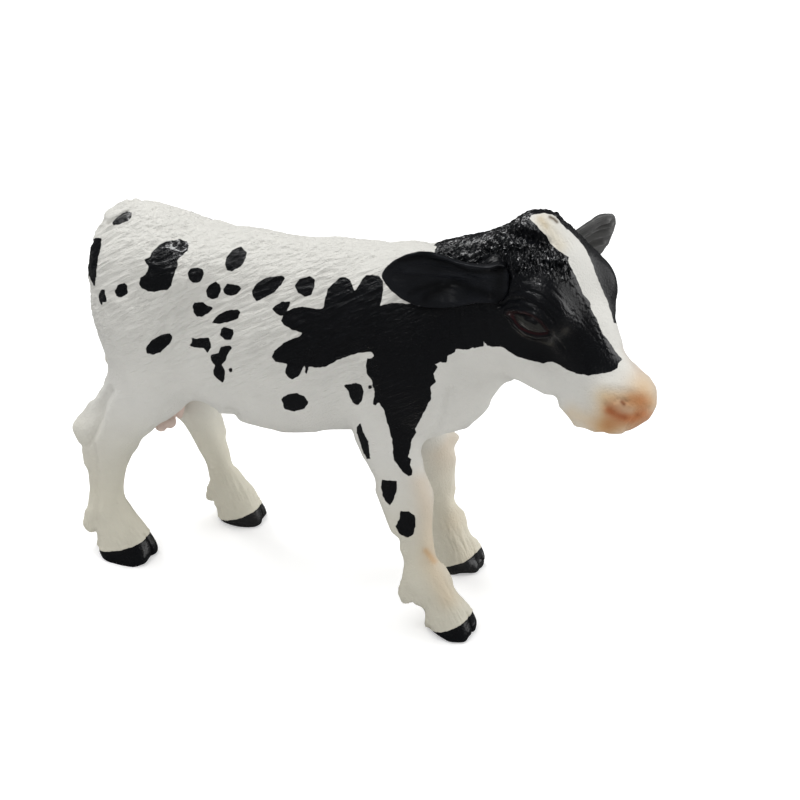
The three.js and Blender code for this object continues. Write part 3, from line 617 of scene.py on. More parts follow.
spots_right = [
    [(113, 223), (116, 219), (122, 215), (127.5, 212), (131, 213), (130.5, 217), (127.5, 220),
     (119, 224), (114, 224.5)],
    [(97.5, 238.3), (100.8, 238.7), (100.3, 245), (97.5, 256.7), (96.7, 265), (95.3, 273.3),
     (95, 280.8), (94.2, 285.3), (92, 280.8), (88, 271.7), (86, 261.7), (86, 250), (90, 241)],
    [(101.7, 290), (103.8, 290.3), (105.3, 296.7), (106.2, 300.8), (102.5, 301.3), (101.7, 304.2),
     (100, 300), (99.2, 295)],
    [(124.2, 283.3), (126.7, 285.8), (127.2, 292.5), (124.2, 294.7), (119.7, 297), (116.7, 295.3),
     (115.8, 290.8), (119.2, 285)],
    [(173.3, 241), (180, 240), (186.7, 242.5), (188, 245), (186.7, 250), (180, 256.7), (176.7, 259.2),
     (177, 265), (174.2, 273.3), (171.7, 278.3), (171.3, 285), (166.7, 289.2), (160, 289.5),
     (155, 291.2), (148.3, 290.3), (142.5, 287.5), (139.7, 283.3), (140.8, 278.3), (145.8, 275.3),
     (148, 271.7), (149.2, 265.8), (146.7, 262.5), (145.3, 260), (150.8, 257.5), (151.7, 253.3),
     (158.3, 246.7), (165, 242.5)],
    [(190.8, 269.7), (196.7, 268.3), (202.5, 270), (203.3, 273.3), (201.7, 278.3), (198.7, 282),
     (193.3, 282.2), (189.2, 278.3), (188.3, 273.3)],
    [(240.8, 247.8), (243.3, 250), (246.2, 253), (245, 258.3), (240, 265.8), (231.7, 270.5),
     (227.5, 269.7), (225.8, 265), (227.5, 256.7), (233.3, 250.3)],
    [(215.8, 282.5), (219.2, 285), (220.5, 289.2), (217.5, 296.7), (213.3, 298.8), (208.3, 296.7),
     (206.7, 290.8), (209.2, 285.8)],
    [(227.5, 284.5), (232.5, 285), (238.3, 285.8), (240.3, 288.7), (236.7, 293.3), (230.8, 295.3),
     (225, 293.3), (223.7, 289.7)],
    [(198.3, 302.5), (202.5, 303.3), (206.7, 305.8), (212, 308), (208.3, 312.5), (201.7, 315.8),
     (196.7, 315.8), (194.2, 311.7), (192.8, 306.7), (195, 303.3)],
    [(212.8, 322.5), (218.3, 315.8), (226.7, 311.3), (237.5, 310.3), (239.7, 312.5), (237.5, 317.5),
     (230, 320.8), (220, 323.3)],
    [(223.7, 328), (227.5, 328.3), (232.5, 330), (232.5, 335), (230.8, 338.8), (225, 338.8),
     (221.2, 335), (221.7, 330)],
    [(170, 334.2), (172, 337.5), (168.3, 344.2), (160, 351.7), (153.3, 354.2), (147.5, 352.5),
     (146.2, 348.3), (151.7, 341.7), (161.7, 335.3)],
    [(192, 338.3), (196.7, 339.2), (208.3, 338.3), (209.7, 341.7), (210, 347.5), (207.5, 352),
     (204.2, 347.5), (196.7, 347), (190, 345.3), (193.3, 342.5)],
    [(220.8, 347.5), (230, 346.3), (230.8, 348.3), (226.7, 354.2), (225, 360), (220.8, 364.2),
     (223.7, 370), (224.2, 376.7), (222.5, 381.7), (218.3, 378.3), (215, 375), (214.2, 370),
     (216.7, 365), (211.7, 360), (210.8, 355.8), (213.3, 354.7), (219.2, 353.3)],
    [(229.3, 369), (231.5, 368.8), (232, 371), (230.3, 372)],
    [(282.5, 276.7), (284.5, 278.3), (280, 285), (273.3, 291.7), (265, 296.7), (256.7, 300),
     (254.2, 296.7), (252.5, 290.8), (256.7, 285), (265, 279.2), (276.7, 276.7)],
    [(310, 276.7), (314.2, 280), (313.3, 288.3), (310.8, 294.2), (305, 296.2), (298.3, 291.7),
     (295.5, 285.8), (300, 279.2)],
    [(289.2, 302.5), (288.3, 306.7), (284.2, 312.5), (281.7, 315.3), (276.7, 313.3), (273, 308.7),
     (276.7, 305), (283.3, 302.5)],
    [(345, 385.8), (355.8, 383.7), (360.8, 385.8), (362.8, 391.7), (360.8, 401.7), (357.5, 404.5),
     (353.3, 401.7), (350.8, 396.7), (349.2, 390.8)],
    [(368.8, 386), (371, 386), (371.2, 388), (369, 388.2)],
    [(282, 399), (288, 395), (297, 394), (304, 397), (308, 402), (304, 408), (294, 411), (285, 408)],
    [(360, 424.2), (362.5, 431.7), (367.5, 441.7), (368.3, 450), (369.7, 458.3), (367.5, 458.3),
     (362.5, 448.3), (360.8, 441.7), (357.5, 433.3), (357.5, 427.5)],
    [(382.5, 480.3), (389.2, 481.3), (395.8, 481.7), (395.8, 491.7), (393.3, 498.3), (390, 504.5),
     (386.7, 501.7), (383, 495), (382, 486.7)],
    [(400.8, 511.7), (408.3, 512.5), (414.2, 516.7), (415, 525), (412.5, 534.2), (407.5, 537),
     (400.8, 534.2), (396.3, 525.8), (400, 520)],
]
field_left = [
    *field_right[:45], (425, 404), (410, 412), (398, 408), (392, 392), (396, 374), (390, 352),
    (376, 338), (372, 318), (384, 300), (400, 284), (409, 272), (424, 266), (431, 256),
]
spots_left = [
    [(120, 252), (136, 242), (158, 242), (172, 250), (170, 266), (158, 284), (150, 306), (134, 312),
     (122, 300), (116, 276)],
    [(206, 276), (224, 266), (250, 268), (268, 276), (290, 276), (306, 286), (300, 304), (282, 314),
     (276, 336), (256, 350), (236, 340), (232, 324), (214, 314), (202, 296)],
    [(180, 320), (192, 312), (204, 320), (200, 336), (186, 342), (178, 332)],
    [(330, 304), (344, 298), (354, 306), (350, 324), (336, 330), (326, 318)],
    [(306, 356), (324, 350), (338, 358), (330, 374), (312, 376), (302, 366)],
    [(150, 346), (164, 340), (172, 350), (162, 362), (150, 360)],
    [(366, 440), (376, 434), (384, 446), (380, 464), (370, 468), (364, 454)],
    [(240, 372), (254, 368), (262, 378), (252, 388), (240, 384)],
]
# The brush runs over each spot's outline by this many pixels, and over the field's by half of it
spread = 0.8
# The left side's outlines wander by this many pixels, in lumps of about a millimetre
wander = 9
lumps_per_metre = 800


def painted_side(seen, field, spots):
    """How far picture points lie inside the black paint of one side, in pixels."""
    depth = inside_outline(seen, field) + spread / 2
    depth = np.minimum(depth, -inside_outline(seen, blaze))
    for spot in spots:
        depth = np.maximum(depth, inside_outline(seen, spot) + spread)
    return depth


def paint_depth(points, left):
    """How far each point lies inside the black paint, in metres; below zero where the PVC is bare."""
    right_depth = painted_side(picture_points(points), field_right, spots_right)
    places = mirrored(points)
    astray = np.column_stack((noise_at(places, lumps_per_metre), noise_at(places + 1, lumps_per_metre)))
    left_depth = painted_side(picture_points(places) + wander * astray, field_left, spots_left)
    on_coat = (right_depth + (left_depth - right_depth) * left) * mm / pixels_per_mm
    below, _ = hooves(points)
    return np.maximum(on_coat, below)


# Eyes and warm tints
# The lids are lined in dark red around a grey eyeball, and thin orange washes lie over muzzle, knee and poll.
# The enamel is brushed on thicker in some places, where it has more clear gloss, and thinner in others.
# The face's left side is painted lighter grey as a painted sheen, and the far legs paler as painted light.

black_enamel = np.array((0.0035, 0.0040, 0.0052))
# A lighter grey for the painted sheen on the face's left side and on the left ear
painted_sheen_grey = np.array((0.045, 0.045, 0.044))
lid_red = np.array((0.030, 0.002, 0.004))
lid_pink = np.array((0.030, 0.013, 0.013))
eye_grey = np.array((0.022, 0.022, 0.020))
white_pvc = np.array((0.62, 0.612, 0.575))
# The pupil's line in the picture, and over how many pixels the pupil and the eyeball fade
pupil = [(527, 318), (530, 319), (535, 322)]
pupil_edge = (2.2, 3.6)
ball_edge = (1.5, 3)
# Each line of the lids: its line in the picture, its half width in pixels, and its colour
lid_lines = [
    ([(509, 313), (516, 312), (525, 313), (533, 316.5), (541, 322), (548, 331)], 1.0, lid_pink),
    ([(508.5, 313.5), (513, 315.5)], 2.0, lid_pink),
    ([(512, 316), (516, 322), (521, 328), (528, 331.5), (535, 333.5), (541, 334), (547, 333)], 1.05, lid_red),
]
# Each wash: its line, its half width in pixels, what it leaves of red, green and blue, and its strength
washes = [
    ([(644, 388), (648, 402), (636, 418), (608, 428)], 17, (0.96, 0.73, 0.50), 0.95),
    ([(602, 398), (606, 424)], 12, (0.92, 0.78, 0.58), 0.7),
    ([(607, 398), (607, 408), (610, 416)], 9, (0.92, 0.82, 0.68), 0.6),
    ([(608, 398), (622, 395), (640, 400)], 9, (0.92, 0.84, 0.74), 0.85),
    ([(572, 414), (600, 428)], 10, (0.98, 0.82, 0.62), 0.75),
    ([(616, 398), (640, 400)], 7, (0.96, 0.80, 0.60), 0.7),
    ([(612, 408), (640, 402), (637, 416), (611, 424)], 10, (0.84, 0.62, 0.46), 0.95),
    ([(632, 398), (648, 402)], 7, (0.92, 0.76, 0.62), 0.8),
    ([(611, 411), (620, 416), (632, 419), (644, 414)], 6.5, (0.88, 0.54, 0.36), 0.9),
    ([(608, 410), (614, 414), (624, 417)], 3.5, (0.66, 0.40, 0.26), 0.6),
    ([(622, 402), (624, 404)], 2, (0.40, 0.22, 0.14), 0.9),
    ([(630, 430), (642, 424), (652, 414)], 3, (0.80, 0.52, 0.36), 0.6),
    ([(422, 484), (430, 520), (430, 560), (448, 598)], 12, (0.95, 0.84, 0.74), 0.85),
    ([(426, 551), (434, 561)], 3.5, (0.92, 0.66, 0.42), 0.7),
    ([(550, 217), (554, 219), (557, 222)], 1.7, (0.16, 0.12, 0.08), 0.95),
    ([(540, 219), (546, 226)], 3.4, (0.82, 0.74, 0.60), 0.6),
    ([(541, 220), (552, 234), (560, 246)], 8, (0.94, 0.88, 0.77), 0.85),
    ([(628, 350), (640, 372)], 6, (1.0, 0.86, 0.76), 0.5),
]
# The left side of the face is painted lighter grey, a painted sheen; the legs are tinted warm low down, and
# the far ones are painted paler, as painted light
painted_sheen_on_face = 0.38
low_legs = np.array((8, 24)) * mm
leg_tint = np.array((0.93, 0.90, 0.80))
far_legs = np.array((1, 4)) * mm
far_legs_painted_light = 0.16
# The enamel's clear gloss from 0 to 1, and each sheen: its line, its half width in pixels, and what it adds
enamel_coat = 0.5
sheens = [
    ([(172, 244), (184, 250)], 12, 0.5),
    ([(112, 221), (128, 215)], 8, 0.5),
    ([(238, 254), (236, 262)], 10, -0.4),
    ([(262, 292), (280, 281)], 8, 0.45),
    ([(304, 284), (306, 288)], 8, 0.45),
    ([(598, 252), (610, 276), (614, 304)], 10, -0.4),
    ([(498, 244), (544, 266)], 14, 0.5),
    ([(448, 240), (484, 226), (520, 214)], 10, 0.5),
    ([(564, 284), (578, 304), (592, 328)], 9, -0.45),
]


def coat_colours(points, left):
    """The enamel's colour, with painted sheen on the face's left side, and the bare PVC's colour, with the
    far legs painted paler as painted light, at each point.
    """
    seen = picture_points(points) * (1 - left)[:, None] + picture_points(mirrored(points)) * left[:, None]
    face = on_face(points)
    # The face's left side is painted lighter grey: painted sheen
    enamel = black_enamel + (painted_sheen_grey - black_enamel) * (left * face * painted_sheen_on_face)[:, None]
    ball = ramp(inside_outline(seen, eye_opening), *ball_edge) * face
    enamel += (eye_grey - enamel) * ball[:, None]
    dark = face * (1 - ramp(from_line(seen, pupil), *pupil_edge))
    enamel += (black_enamel - enamel) * dark[:, None]
    for line, half_width, colour in lid_lines:
        share = face * bell(from_line(seen, line), half_width)
        enamel += (colour - enamel) * share[:, None]
    bare = np.tile(white_pvc, (len(points), 1))
    for line, half_width, left_over, strength in washes:
        share = bell(from_line(seen, line), half_width) * strength
        bare *= 1 - share[:, None] * (1 - np.array(left_over))
    low_down = 1 - ramp(points[:, 2], *low_legs)
    bare *= 1 - low_down[:, None] * (1 - leg_tint)
    # The far legs are painted paler low down: painted light for the light that falls on them
    bare *= 1 + (low_down * ramp(points[:, 1], *far_legs))[:, None] * far_legs_painted_light
    return enamel, bare


def clear_coat(points, left):
    """How much clear gloss the enamel has at each point, from 0 to 1."""
    seen = picture_points(points)
    coat = np.full(len(points), enamel_coat)
    for line, half_width, gain in sheens:
        coat += gain * (1 - left) * bell(from_line(seen, line), half_width)
    return np.clip(coat, 0, 1)


# Finish of the body
# Satin white PVC has a fine cast grain and carved hair. The black enamel lies over it, glossier and under a
# clear gloss that follows how thickly it was brushed on, and its edge is ragged from the brush.


def new_material(name):
    """A node material, its tree and its shader."""
    material = bpy.data.materials.new(name)
    material.use_nodes = True
    return material, material.node_tree, material.node_tree.nodes["Principled BSDF"]


def feed(tree, node, inputs):
    """Gives a node's inputs their plain values, or the sockets that feed them."""
    for name, value in inputs.items():
        socket = node.inputs[name] if isinstance(name, int) else None
        socket = socket or next(s for s in node.inputs if name in (s.identifier, s.name))
        if isinstance(value, bpy.types.NodeSocket):
            tree.links.new(value, socket)
        else:
            socket.default_value = value


def add_node(tree, kind, inputs=None, **settings):
    """Adds a node with its settings, and with what its inputs are given."""
    node = tree.nodes.new(kind)
    for name, value in settings.items():
        setattr(node, name, value)
    feed(tree, node, inputs or {})
    return node


def between(tree, share, low, high):
    """The socket of a value that runs from low to high as its share runs from 0 to 1."""
    return add_node(tree, "ShaderNodeMapRange", {"Value": share, "To Min": low, "To Max": high}).outputs[0]


def worked_out(tree, operation, *values, **settings):
    """The socket of what a Math node's operation makes of values and sockets."""
    node = add_node(tree, "ShaderNodeMath", dict(enumerate(values)), operation=operation, **settings)
    return node.outputs[0]


def kept_on(tree, name):
    """The node that reads what keep_on keeps for each point of a piece."""
    return add_node(tree, "ShaderNodeAttribute", attribute_name=name)


def noise_texture(tree, place, fineness, detail):
    """The socket of smooth noise with lumps of about one over its fineness."""
    inputs = {"Vector": place, "Scale": fineness, "Detail": detail}
    return add_node(tree, "ShaderNodeTexNoise", inputs).outputs["Fac"]


def mix_colours(tree, share, first, second, blend="MIX"):
    """The colour socket of two colours mixed."""
    inputs = {"Factor_Float": share, "A_Color": first, "B_Color": second}
    node = add_node(tree, "ShaderNodeMix", inputs, data_type="RGBA", blend_type=blend)
    return next(socket for socket in node.outputs if socket.type == "RGBA")


# How fine the hair is across, through and along itself, and how fine the blotches and the grain are
hair_fineness = (3000.0, 2400.0, 300.0)
hair_detail = 3.0
blotch_fineness = 320.0
blotch_detail = 5.0
grain_fineness = 4200.0
grain_detail = 2.0


def new_group(name, inputs, outputs):
    """An empty node group with vector or float sockets, and its two end nodes."""
    group = bpy.data.node_groups.new(name, "ShaderNodeTree")
    for socket, kind in inputs.items():
        group.interface.new_socket(socket, in_out="INPUT", socket_type=kind)
    for socket, kind in outputs.items():
        group.interface.new_socket(socket, in_out="OUTPUT", socket_type=kind)
    return group, group.nodes.new("NodeGroupInput"), group.nodes.new("NodeGroupOutput")


def hair_group():
    """Fine hair pressed into the casting, lying in the X-Z plane at a lean from the Z axis."""
    group, given, result = new_group(
        "fine_hair",
        {"Place": "NodeSocketVector", "Lean": "NodeSocketFloat"},
        {"Height": "NodeSocketFloat"},
    )
    turned = add_node(
        group,
        "ShaderNodeVectorRotate",
        {"Vector": given.outputs["Place"], "Angle": given.outputs["Lean"]},
        rotation_type="Y_AXIS",
    )
    drawn = add_node(group, "ShaderNodeMapping", {"Vector": turned.outputs[0], "Scale": hair_fineness})
    hair = noise_texture(group, drawn.outputs[0], 1.0, hair_detail)
    group.links.new(hair, result.inputs["Height"])
    return group


def grain_group():
    """The cast surface: soft blotches of tone, and a fine grain of height."""
    group, given, result = new_group(
        "cast_grain",
        {"Place": "NodeSocketVector"},
        {"Tone": "NodeSocketFloat", "Height": "NodeSocketFloat"},
    )
    tone = noise_texture(group, given.outputs["Place"], blotch_fineness, blotch_detail)
    grain = noise_texture(group, given.outputs["Place"], grain_fineness, grain_detail)
    group.links.new(tone, result.inputs["Tone"])
    group.links.new(grain, result.inputs["Height"])
    return group


fine_hair = hair_group()
cast_grain = grain_group()
grain_share = 0.25


def cast_surface(tree, lean=0.0):
    """The place of a point, the tone of its blotch, and the heights of its hair and grain."""
    place = add_node(tree, "ShaderNodeTexCoord").outputs["Object"]
    grain = add_node(tree, "ShaderNodeGroup", node_tree=cast_grain)
    hair = add_node(tree, "ShaderNodeGroup", node_tree=fine_hair)
    feed(tree, grain, {"Place": place})
    feed(tree, hair, {"Place": place, "Lean": lean})
    return place, grain.outputs["Tone"], hair.outputs["Height"], grain.outputs["Height"]


def surface_normal(tree, hair_height, grain_height, hair_depth):
    """A bump of the fine hair and, a share as deep, of the cast grain."""
    height = worked_out(tree, "MULTIPLY_ADD", grain_height, grain_share, hair_height)
    return add_node(tree, "ShaderNodeBump", {"Height": height, "Distance": hair_depth}).outputs[0]


# The fine hair's lean from upright, in radians, and its depth
body_hair_lean = -1.0
body_hair_depth = 0.36 * mm
# How fine the brush's marks at the enamel's edge are, how far they run, and how soft the edge is
brush_fineness = 1500.0
brush_detail = 3.0
ragged_edge = 0.3 * mm
edge_softness = 0.03 * mm
# Tones and roughnesses each run between two values with the blotches of the casting
pvc_tones = (0.93, 1.05)
pvc_roughness = (0.42, 0.58)
enamel_roughness = (0.18, 0.32)
pvc_specular = 0.3
# The clear gloss over the enamel; without any of it the enamel is rougher by the second value
coat_roughness = 0.2
uncoated_roughness = 0.3


def body_material():
    """White PVC where the paint's depth is below zero, and enamel where it is above."""
    material, tree, shader = new_material("white_pvc_with_black_enamel")
    place, tone, hair_height, grain_height = cast_surface(tree, body_hair_lean)
    brush = noise_texture(tree, place, brush_fineness, brush_detail)
    ragged = worked_out(tree, "MULTIPLY_ADD", brush, ragged_edge, -ragged_edge / 2)
    painted = add_node(
        tree,
        "ShaderNodeMapRange",
        {
            "Value": worked_out(tree, "ADD", kept_on(tree, "paint_depth").outputs["Fac"], ragged),
            "From Min": -edge_softness,
            "From Max": edge_softness,
        },
    ).outputs[0]
    bare = kept_on(tree, "bare_colour").outputs["Color"]
    bare = mix_colours(tree, 1.0, bare, between(tree, tone, *pvc_tones), "MULTIPLY")
    enamel = kept_on(tree, "enamel_colour_and_painted_light").outputs["Color"]
    bare_gloss = between(tree, tone, *pvc_roughness)
    enamel_gloss = between(tree, tone, *enamel_roughness)
    gloss = between(tree, painted, bare_gloss, enamel_gloss)
    coat = kept_on(tree, "enamel_coat").outputs["Fac"]
    steepness = -uncoated_roughness / enamel_coat
    dulled = worked_out(tree, "MULTIPLY_ADD", coat, steepness, uncoated_roughness, use_clamp=True)
    hair_height = worked_out(tree, "MULTIPLY", hair_height, kept_on(tree, "hairy").outputs["Fac"])
    finish = {
        "Base Color": mix_colours(tree, painted, bare, enamel),
        "Roughness": worked_out(tree, "ADD", gloss, dulled),
        "Coat Weight": worked_out(tree, "MULTIPLY", painted, coat),
        "Coat Roughness": coat_roughness,
        "Specular IOR Level": pvc_specular,
        "Normal": surface_normal(tree, hair_height, grain_height, body_hair_depth),
    }
    feed(tree, shader, finish)
    return material


body_finish = body_material()


# Castings of the body
# Torso, head and legs are solid PVC castings, painted once they are glued together. Each is cut from the
# body along the glue joints of the solids, and closed there.

# A joint has the corners of a block, a point on its face, and the way from the casting to the torso, in
# millimetres. The legs' blocks start beside the torso's keel, and all of them reach clear of the body.
keel_half_width = 1.5
clear_of_side = 20
head_block = ((0, -clear_of_side, 10), (60, clear_of_side, 70))
head_joint = (head_block, (13.088, 0, 38.3), (-0.866, 0.06, -0.5))
crease_angle = radians(50)


def joint_block(name, corners, point, way):
    """All that one joint takes from the torso: a block, cut by the joint's face."""
    low, high = (Vector(corner) * mm for corner in corners)
    bpy.ops.object.select_all(action="DESELECT")
    bpy.ops.mesh.primitive_cube_add(size=1, location=(low + high) / 2, scale=high - low)
    block = bpy.context.object
    block.name = name
    bpy.ops.object.transform_apply(location=True, rotation=True, scale=True)
    bpy.ops.object.mode_set(mode="EDIT")
    bpy.ops.mesh.select_all(action="SELECT")
    bpy.ops.mesh.bisect(
        plane_co=Vector(point) * mm, plane_no=Vector(way), use_fill=True, clear_outer=True
    )
    bpy.ops.object.mode_set(mode="OBJECT")
    return block


blocks = {"head": joint_block("head_block", *head_joint)}
for name, side in (("right", -1), ("left", 1)):
    inner, outer = sorted((side * keel_half_width, side * clear_of_side))
    blocks["hind_leg_" + name] = joint_block(
        "hind_block_" + name,
        ((-50, inner, -5), (-9.712, outer, 45)),
        (-25.212, side * 4.6, 27),
        (0.42, -side * 0.3, 0.86),
    )
    blocks["fore_leg_" + name] = joint_block(
        "fore_block_" + name,
        ((-0.112, inner, -5), (30, outer, 32.5)),
        (5.288, side * 4.5625, 25.4),
        (-0.12, -side * 0.42, 0.9),
    )


def cut_from_body(name, cutters, operation):
    """A casting: the body inside its joint's block, or what all the blocks leave of it."""
    piece = bpy.data.objects.new("calf_" + name, body.data.copy())
    bpy.context.collection.objects.link(piece)
    for cutter in cutters:
        finished_with(piece, "BOOLEAN", operation=operation, object=cutter, solver="MANIFOLD")
    choose(piece)
    bpy.ops.object.shade_smooth_by_angle(angle=crease_angle)
    return piece


def smoothed(piece, values, rounds):
    """Values for a piece's points, each drawn round after round towards its neighbours'."""
    ends = np.empty(len(piece.data.edges) * 2, np.int32)
    piece.data.edges.foreach_get("vertices", ends)
    first, second = ends.reshape(-1, 2).T
    neighbours = np.bincount(ends, minlength=len(values))
    for _ in range(rounds):
        total = np.bincount(first, values[second], len(values))
        total = total + np.bincount(second, values[first], len(values))
        values = (values + total / np.maximum(neighbours, 1)) / 2
    return values


def keep_on(piece, name, values):
    """Keeps a number or a colour for each point of a piece, for its material to read."""
    if values.ndim == 1:
        attribute = piece.data.attributes.new(name, "FLOAT", "POINT")
        attribute.data.foreach_set("value", values.astype(np.float32))
    else:
        attribute = piece.data.attributes.new(name, "FLOAT_COLOR", "POINT")
        colours = np.column_stack((values, np.ones(len(values))))
        attribute.data.foreach_set("color", colours.astype(np.float32).ravel())


# Rounds of smoothing where the left side's paint meets the right side's
side_smoothing = 24
# The finish's fine hair is fullest on the back; this is what is left of it on the legs and on the head
hair_on_legs = 0.15
hair_on_head = 0.1
above_legs = np.array((22, 34)) * mm
head_begins = np.array((6, 13)) * mm


def hairiness(points):
    """How much of the finish's fine hair each point has, from 0 to 1."""
    up_the_body = ramp(points[:, 2], *above_legs) * (1 - hair_on_legs) + hair_on_legs
    return up_the_body * (1 - (1 - hair_on_head) * ramp(points[:, 0], *head_begins))


pieces = {name: cut_from_body(name, [block], "INTERSECT") for name, block in blocks.items()}
pieces["torso"] = cut_from_body("torso", blocks.values(), "DIFFERENCE")
for name, piece in pieces.items():
    points = points_of(piece)
    left = smoothed(piece, on_left(points, normals_of(piece)), side_smoothing)
    enamel, bare = coat_colours(points, left)
    keep_on(piece, "paint_depth", paint_depth(points, left))
    keep_on(piece, "enamel_colour_and_painted_light", enamel)
    keep_on(piece, "bare_colour", bare)
    keep_on(piece, "enamel_coat", clear_coat(points, left))
    keep_on(piece, "hairy", hairiness(points))
    piece.data.materials.clear()
    piece.data.materials.append(body_finish)
    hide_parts(name)
    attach(piece, "root")

bpy.data.objects.remove(body)
for block in blocks.values():
    bpy.data.objects.remove(block)


# Ears
# Each ear is a hollow leaf cast on its own, painted black all over and glued into a socket of the head.
# It is laid out flat, along from its root and across, in millimetres, then hollowed and set in place.

# The roll is the part that turns over; the bulb, by its place and size, fills the ear's root. Each fold:
# its line, its half width, its height, and what it leaves of the enamel's colour: below 1 a painted shade in
# the fold, above 1 a painted highlight on the ridge
ears = {
    "ear_right": {
        "root": (17.473, -3.872, 44.905),
        "along": (-0.9336, -0.3584, 0),
        "across": (-0.0250, 0.0651, 0.9976),
        "outline": [
            (12.46, 0.64), (12.08, 1.3), (11.25, 2.1), (9.9, 2.86), (8.42, 3.22), (7.23, 3.17),
            (6.02, 2.84), (4.67, 2.29), (3.15, 1.85), (1.65, 1.65), (0.15, 1.75), (-0.5, 1.3), (-0.9, 0.3),
            (-0.9, -1.4), (-0.5, -2.4), (0.26, -2.95), (1.11, -2.6), (2.62, -2.64), (4.59, -3.0),
            (6.11, -3.15), (7.63, -3.12), (9.14, -2.8), (10.4, -2.14), (11.5, -1.18), (12.1, -0.38),
            (12.46, 0.29),
        ],
        "enamel": black_enamel * 2.6,
        "lift": 2.7,
        "tuck": 1.0,
        "hollow": 1.2,
        "roll": [(7.6, 2.5), (4.7, 1.2), (3.3, 0.2), (2.3, -0.7), (1.0, -1.6), (-2, -2.2), (-2, 4), (6, 4)],
        "roll_height": 0.5,
        "folds": [
            ([(10.6, 2.2), (8.0, 2.6), (5.2, 2.0), (3.2, 1.0), (-0.5, 1.0)], 0.42, -0.25, 0.4),
            ([(9.5, -1.6), (6.2, -0.6)], 0.35, -0.15, 0.6),
            ([(7.8, -2.1), (4.8, -0.6), (2.5, -1.3), (1.0, -1.8)], 0.5, -0.1, 0.42),
            ([(9.6, 0.8), (6.4, 0.6), (4.4, 0.3), (2.6, -0.6)], 0.45, 0.22, 1.25),
            ([(2.2, -2.2), (4.2, -2.5), (5.8, -2.5)], 0.3, 0.14, 1.1),
            ([(0.1, 1.4), (0.1, -2.6)], 0.6, -0.1, 0.5),
        ],
        "bulb": ((0.3, -0.6, -1.7), (2.0, 2.6, 2.0)),
    },
    "ear_left": {
        "root": (20.845, 4.473, 44.905),
        "along": (0.7662, 0.4976, 0.4067),
        "across": (0.0231, 0.6112, -0.7912),
        "outline": [
            (3.0, -2.4), (4.33, -2.8), (5.91, -3.2), (6.69, -2.8), (7.38, -2.17), (7.53, -1.58),
            (7.41, -0.43), (6.96, 0.75), (6.01, 2.75), (4.86, 4.1), (3.4, 4.2), (1.2, 3.2), (0, 2),
            (-0.9, 1), (-0.9, -1.4), (0.6, -2.2),
        ],
        # The left ear is painted light grey: a painted sheen of the light it catches
        "enamel": painted_sheen_grey * 3.2,
        "lift": 0,
        "tuck": 0,
        "hollow": 0.9,
        "roll": [(6.4, -3.2), (4, -2.4), (1, -1.4), (-2, -1.2), (-2, -4), (6, -4.2)],
        "roll_height": 0.12,
        "folds": [
            ([(1.0, -0.6), (4.0, -1.4), (6.6, -1.9)], 0.28, 0.4, 1.3),
            ([(1.0, 0.2), (4.0, -0.3), (6.8, -0.9)], 0.28, 0.4, 1.3),
            ([(1.0, 1.2), (4.0, 1.0), (6.4, 0.5)], 0.28, 0.36, 1.3),
            ([(1.2, 2.2), (3.6, 2.4), (5.4, 2.0)], 0.28, 0.3, 1.3),
            ([(1.0, -1.0), (4.0, -0.9), (6.4, -1.4)], 0.25, 0, 0.6),
            ([(1.0, 0.7), (4.0, 0.3), (6.4, -0.2)], 0.25, 0, 0.6),
        ],
        "bulb": ((0.2, 0.2, -0.6), (1.8, 2.0, 1.4)),
    },
}
leaf_thickness = 0.85
leaf_voxel = 0.12 * mm
leaf_smoothing = 8
# Where the leaf's front begins across its thickness; its edge is thinner beyond the root
leaf_front = (-0.1, 0.25)
leaf_edge = (0, 1.1)
leaf_root = (0.5, 3)
edge_thinning = 0.55
# How far in from their edges the hollow and the roll are full, and how far along the ear its root is lifted
# and tucked in; what is lifted also leans across
hollow_edge = 1.5
roll_edge = (-0.5, 1.0)
lift_along = (-0.5, 5.5)
tuck_along = (-1.2, 1.4)
lift_lean = 0.48
# The enamel's tone away from the roll, the painted light that the roll adds, what the brush varies, and what
# the back has of it, darker as painted shade
flat_tone = 0.8
roll_painted_light = 0.2
brushed_tone = 0.35
brush_marks = (0.9, 0.25, 0.5)
back_painted_shade = 0.35
# The hair carved on the ears, and the angle from which their creases stay sharp
leaf_hair_way = (0.1, 1, 0)
leaf_hair_width = 0.3
leaf_hair_length = 3
leaf_hair_height = 0.05
ear_crease_angle = radians(60)


def leaf_body(name, ear):
    """The flat leaf and the bulb of its root, grown into one closed body."""
    corners = [(across * mm, along * mm, -leaf_thickness / 2 * mm) for along, across in ear["outline"]]
    mesh = bpy.data.meshes.new(name)
    mesh.from_pydata(corners, [], [range(len(corners))])
    leaf = bpy.data.objects.new("calf_" + name, mesh)
    bpy.context.collection.objects.link(leaf)
    choose(leaf)
    bpy.ops.object.mode_set(mode="EDIT")
    bpy.ops.mesh.select_all(action="SELECT")
    bpy.ops.mesh.extrude_region_move(TRANSFORM_OT_translate={"value": (0, 0, leaf_thickness * mm)})
    bpy.ops.mesh.select_all(action="SELECT")
    bpy.ops.mesh.normals_make_consistent(inside=False)
    bpy.ops.object.mode_set(mode="OBJECT")
    (along, across, out), (length, width, thickness) = ear["bulb"]
    bpy.ops.object.select_all(action="DESELECT")
    bpy.ops.mesh.primitive_uv_sphere_add(
        radius=mm, location=(across * mm, along * mm, out * mm), scale=(width, length, thickness)
    )
    choose(leaf, bpy.context.object)
    bpy.ops.object.join()
    make_one(leaf, leaf_voxel, leaf_smoothing)
    return leaf


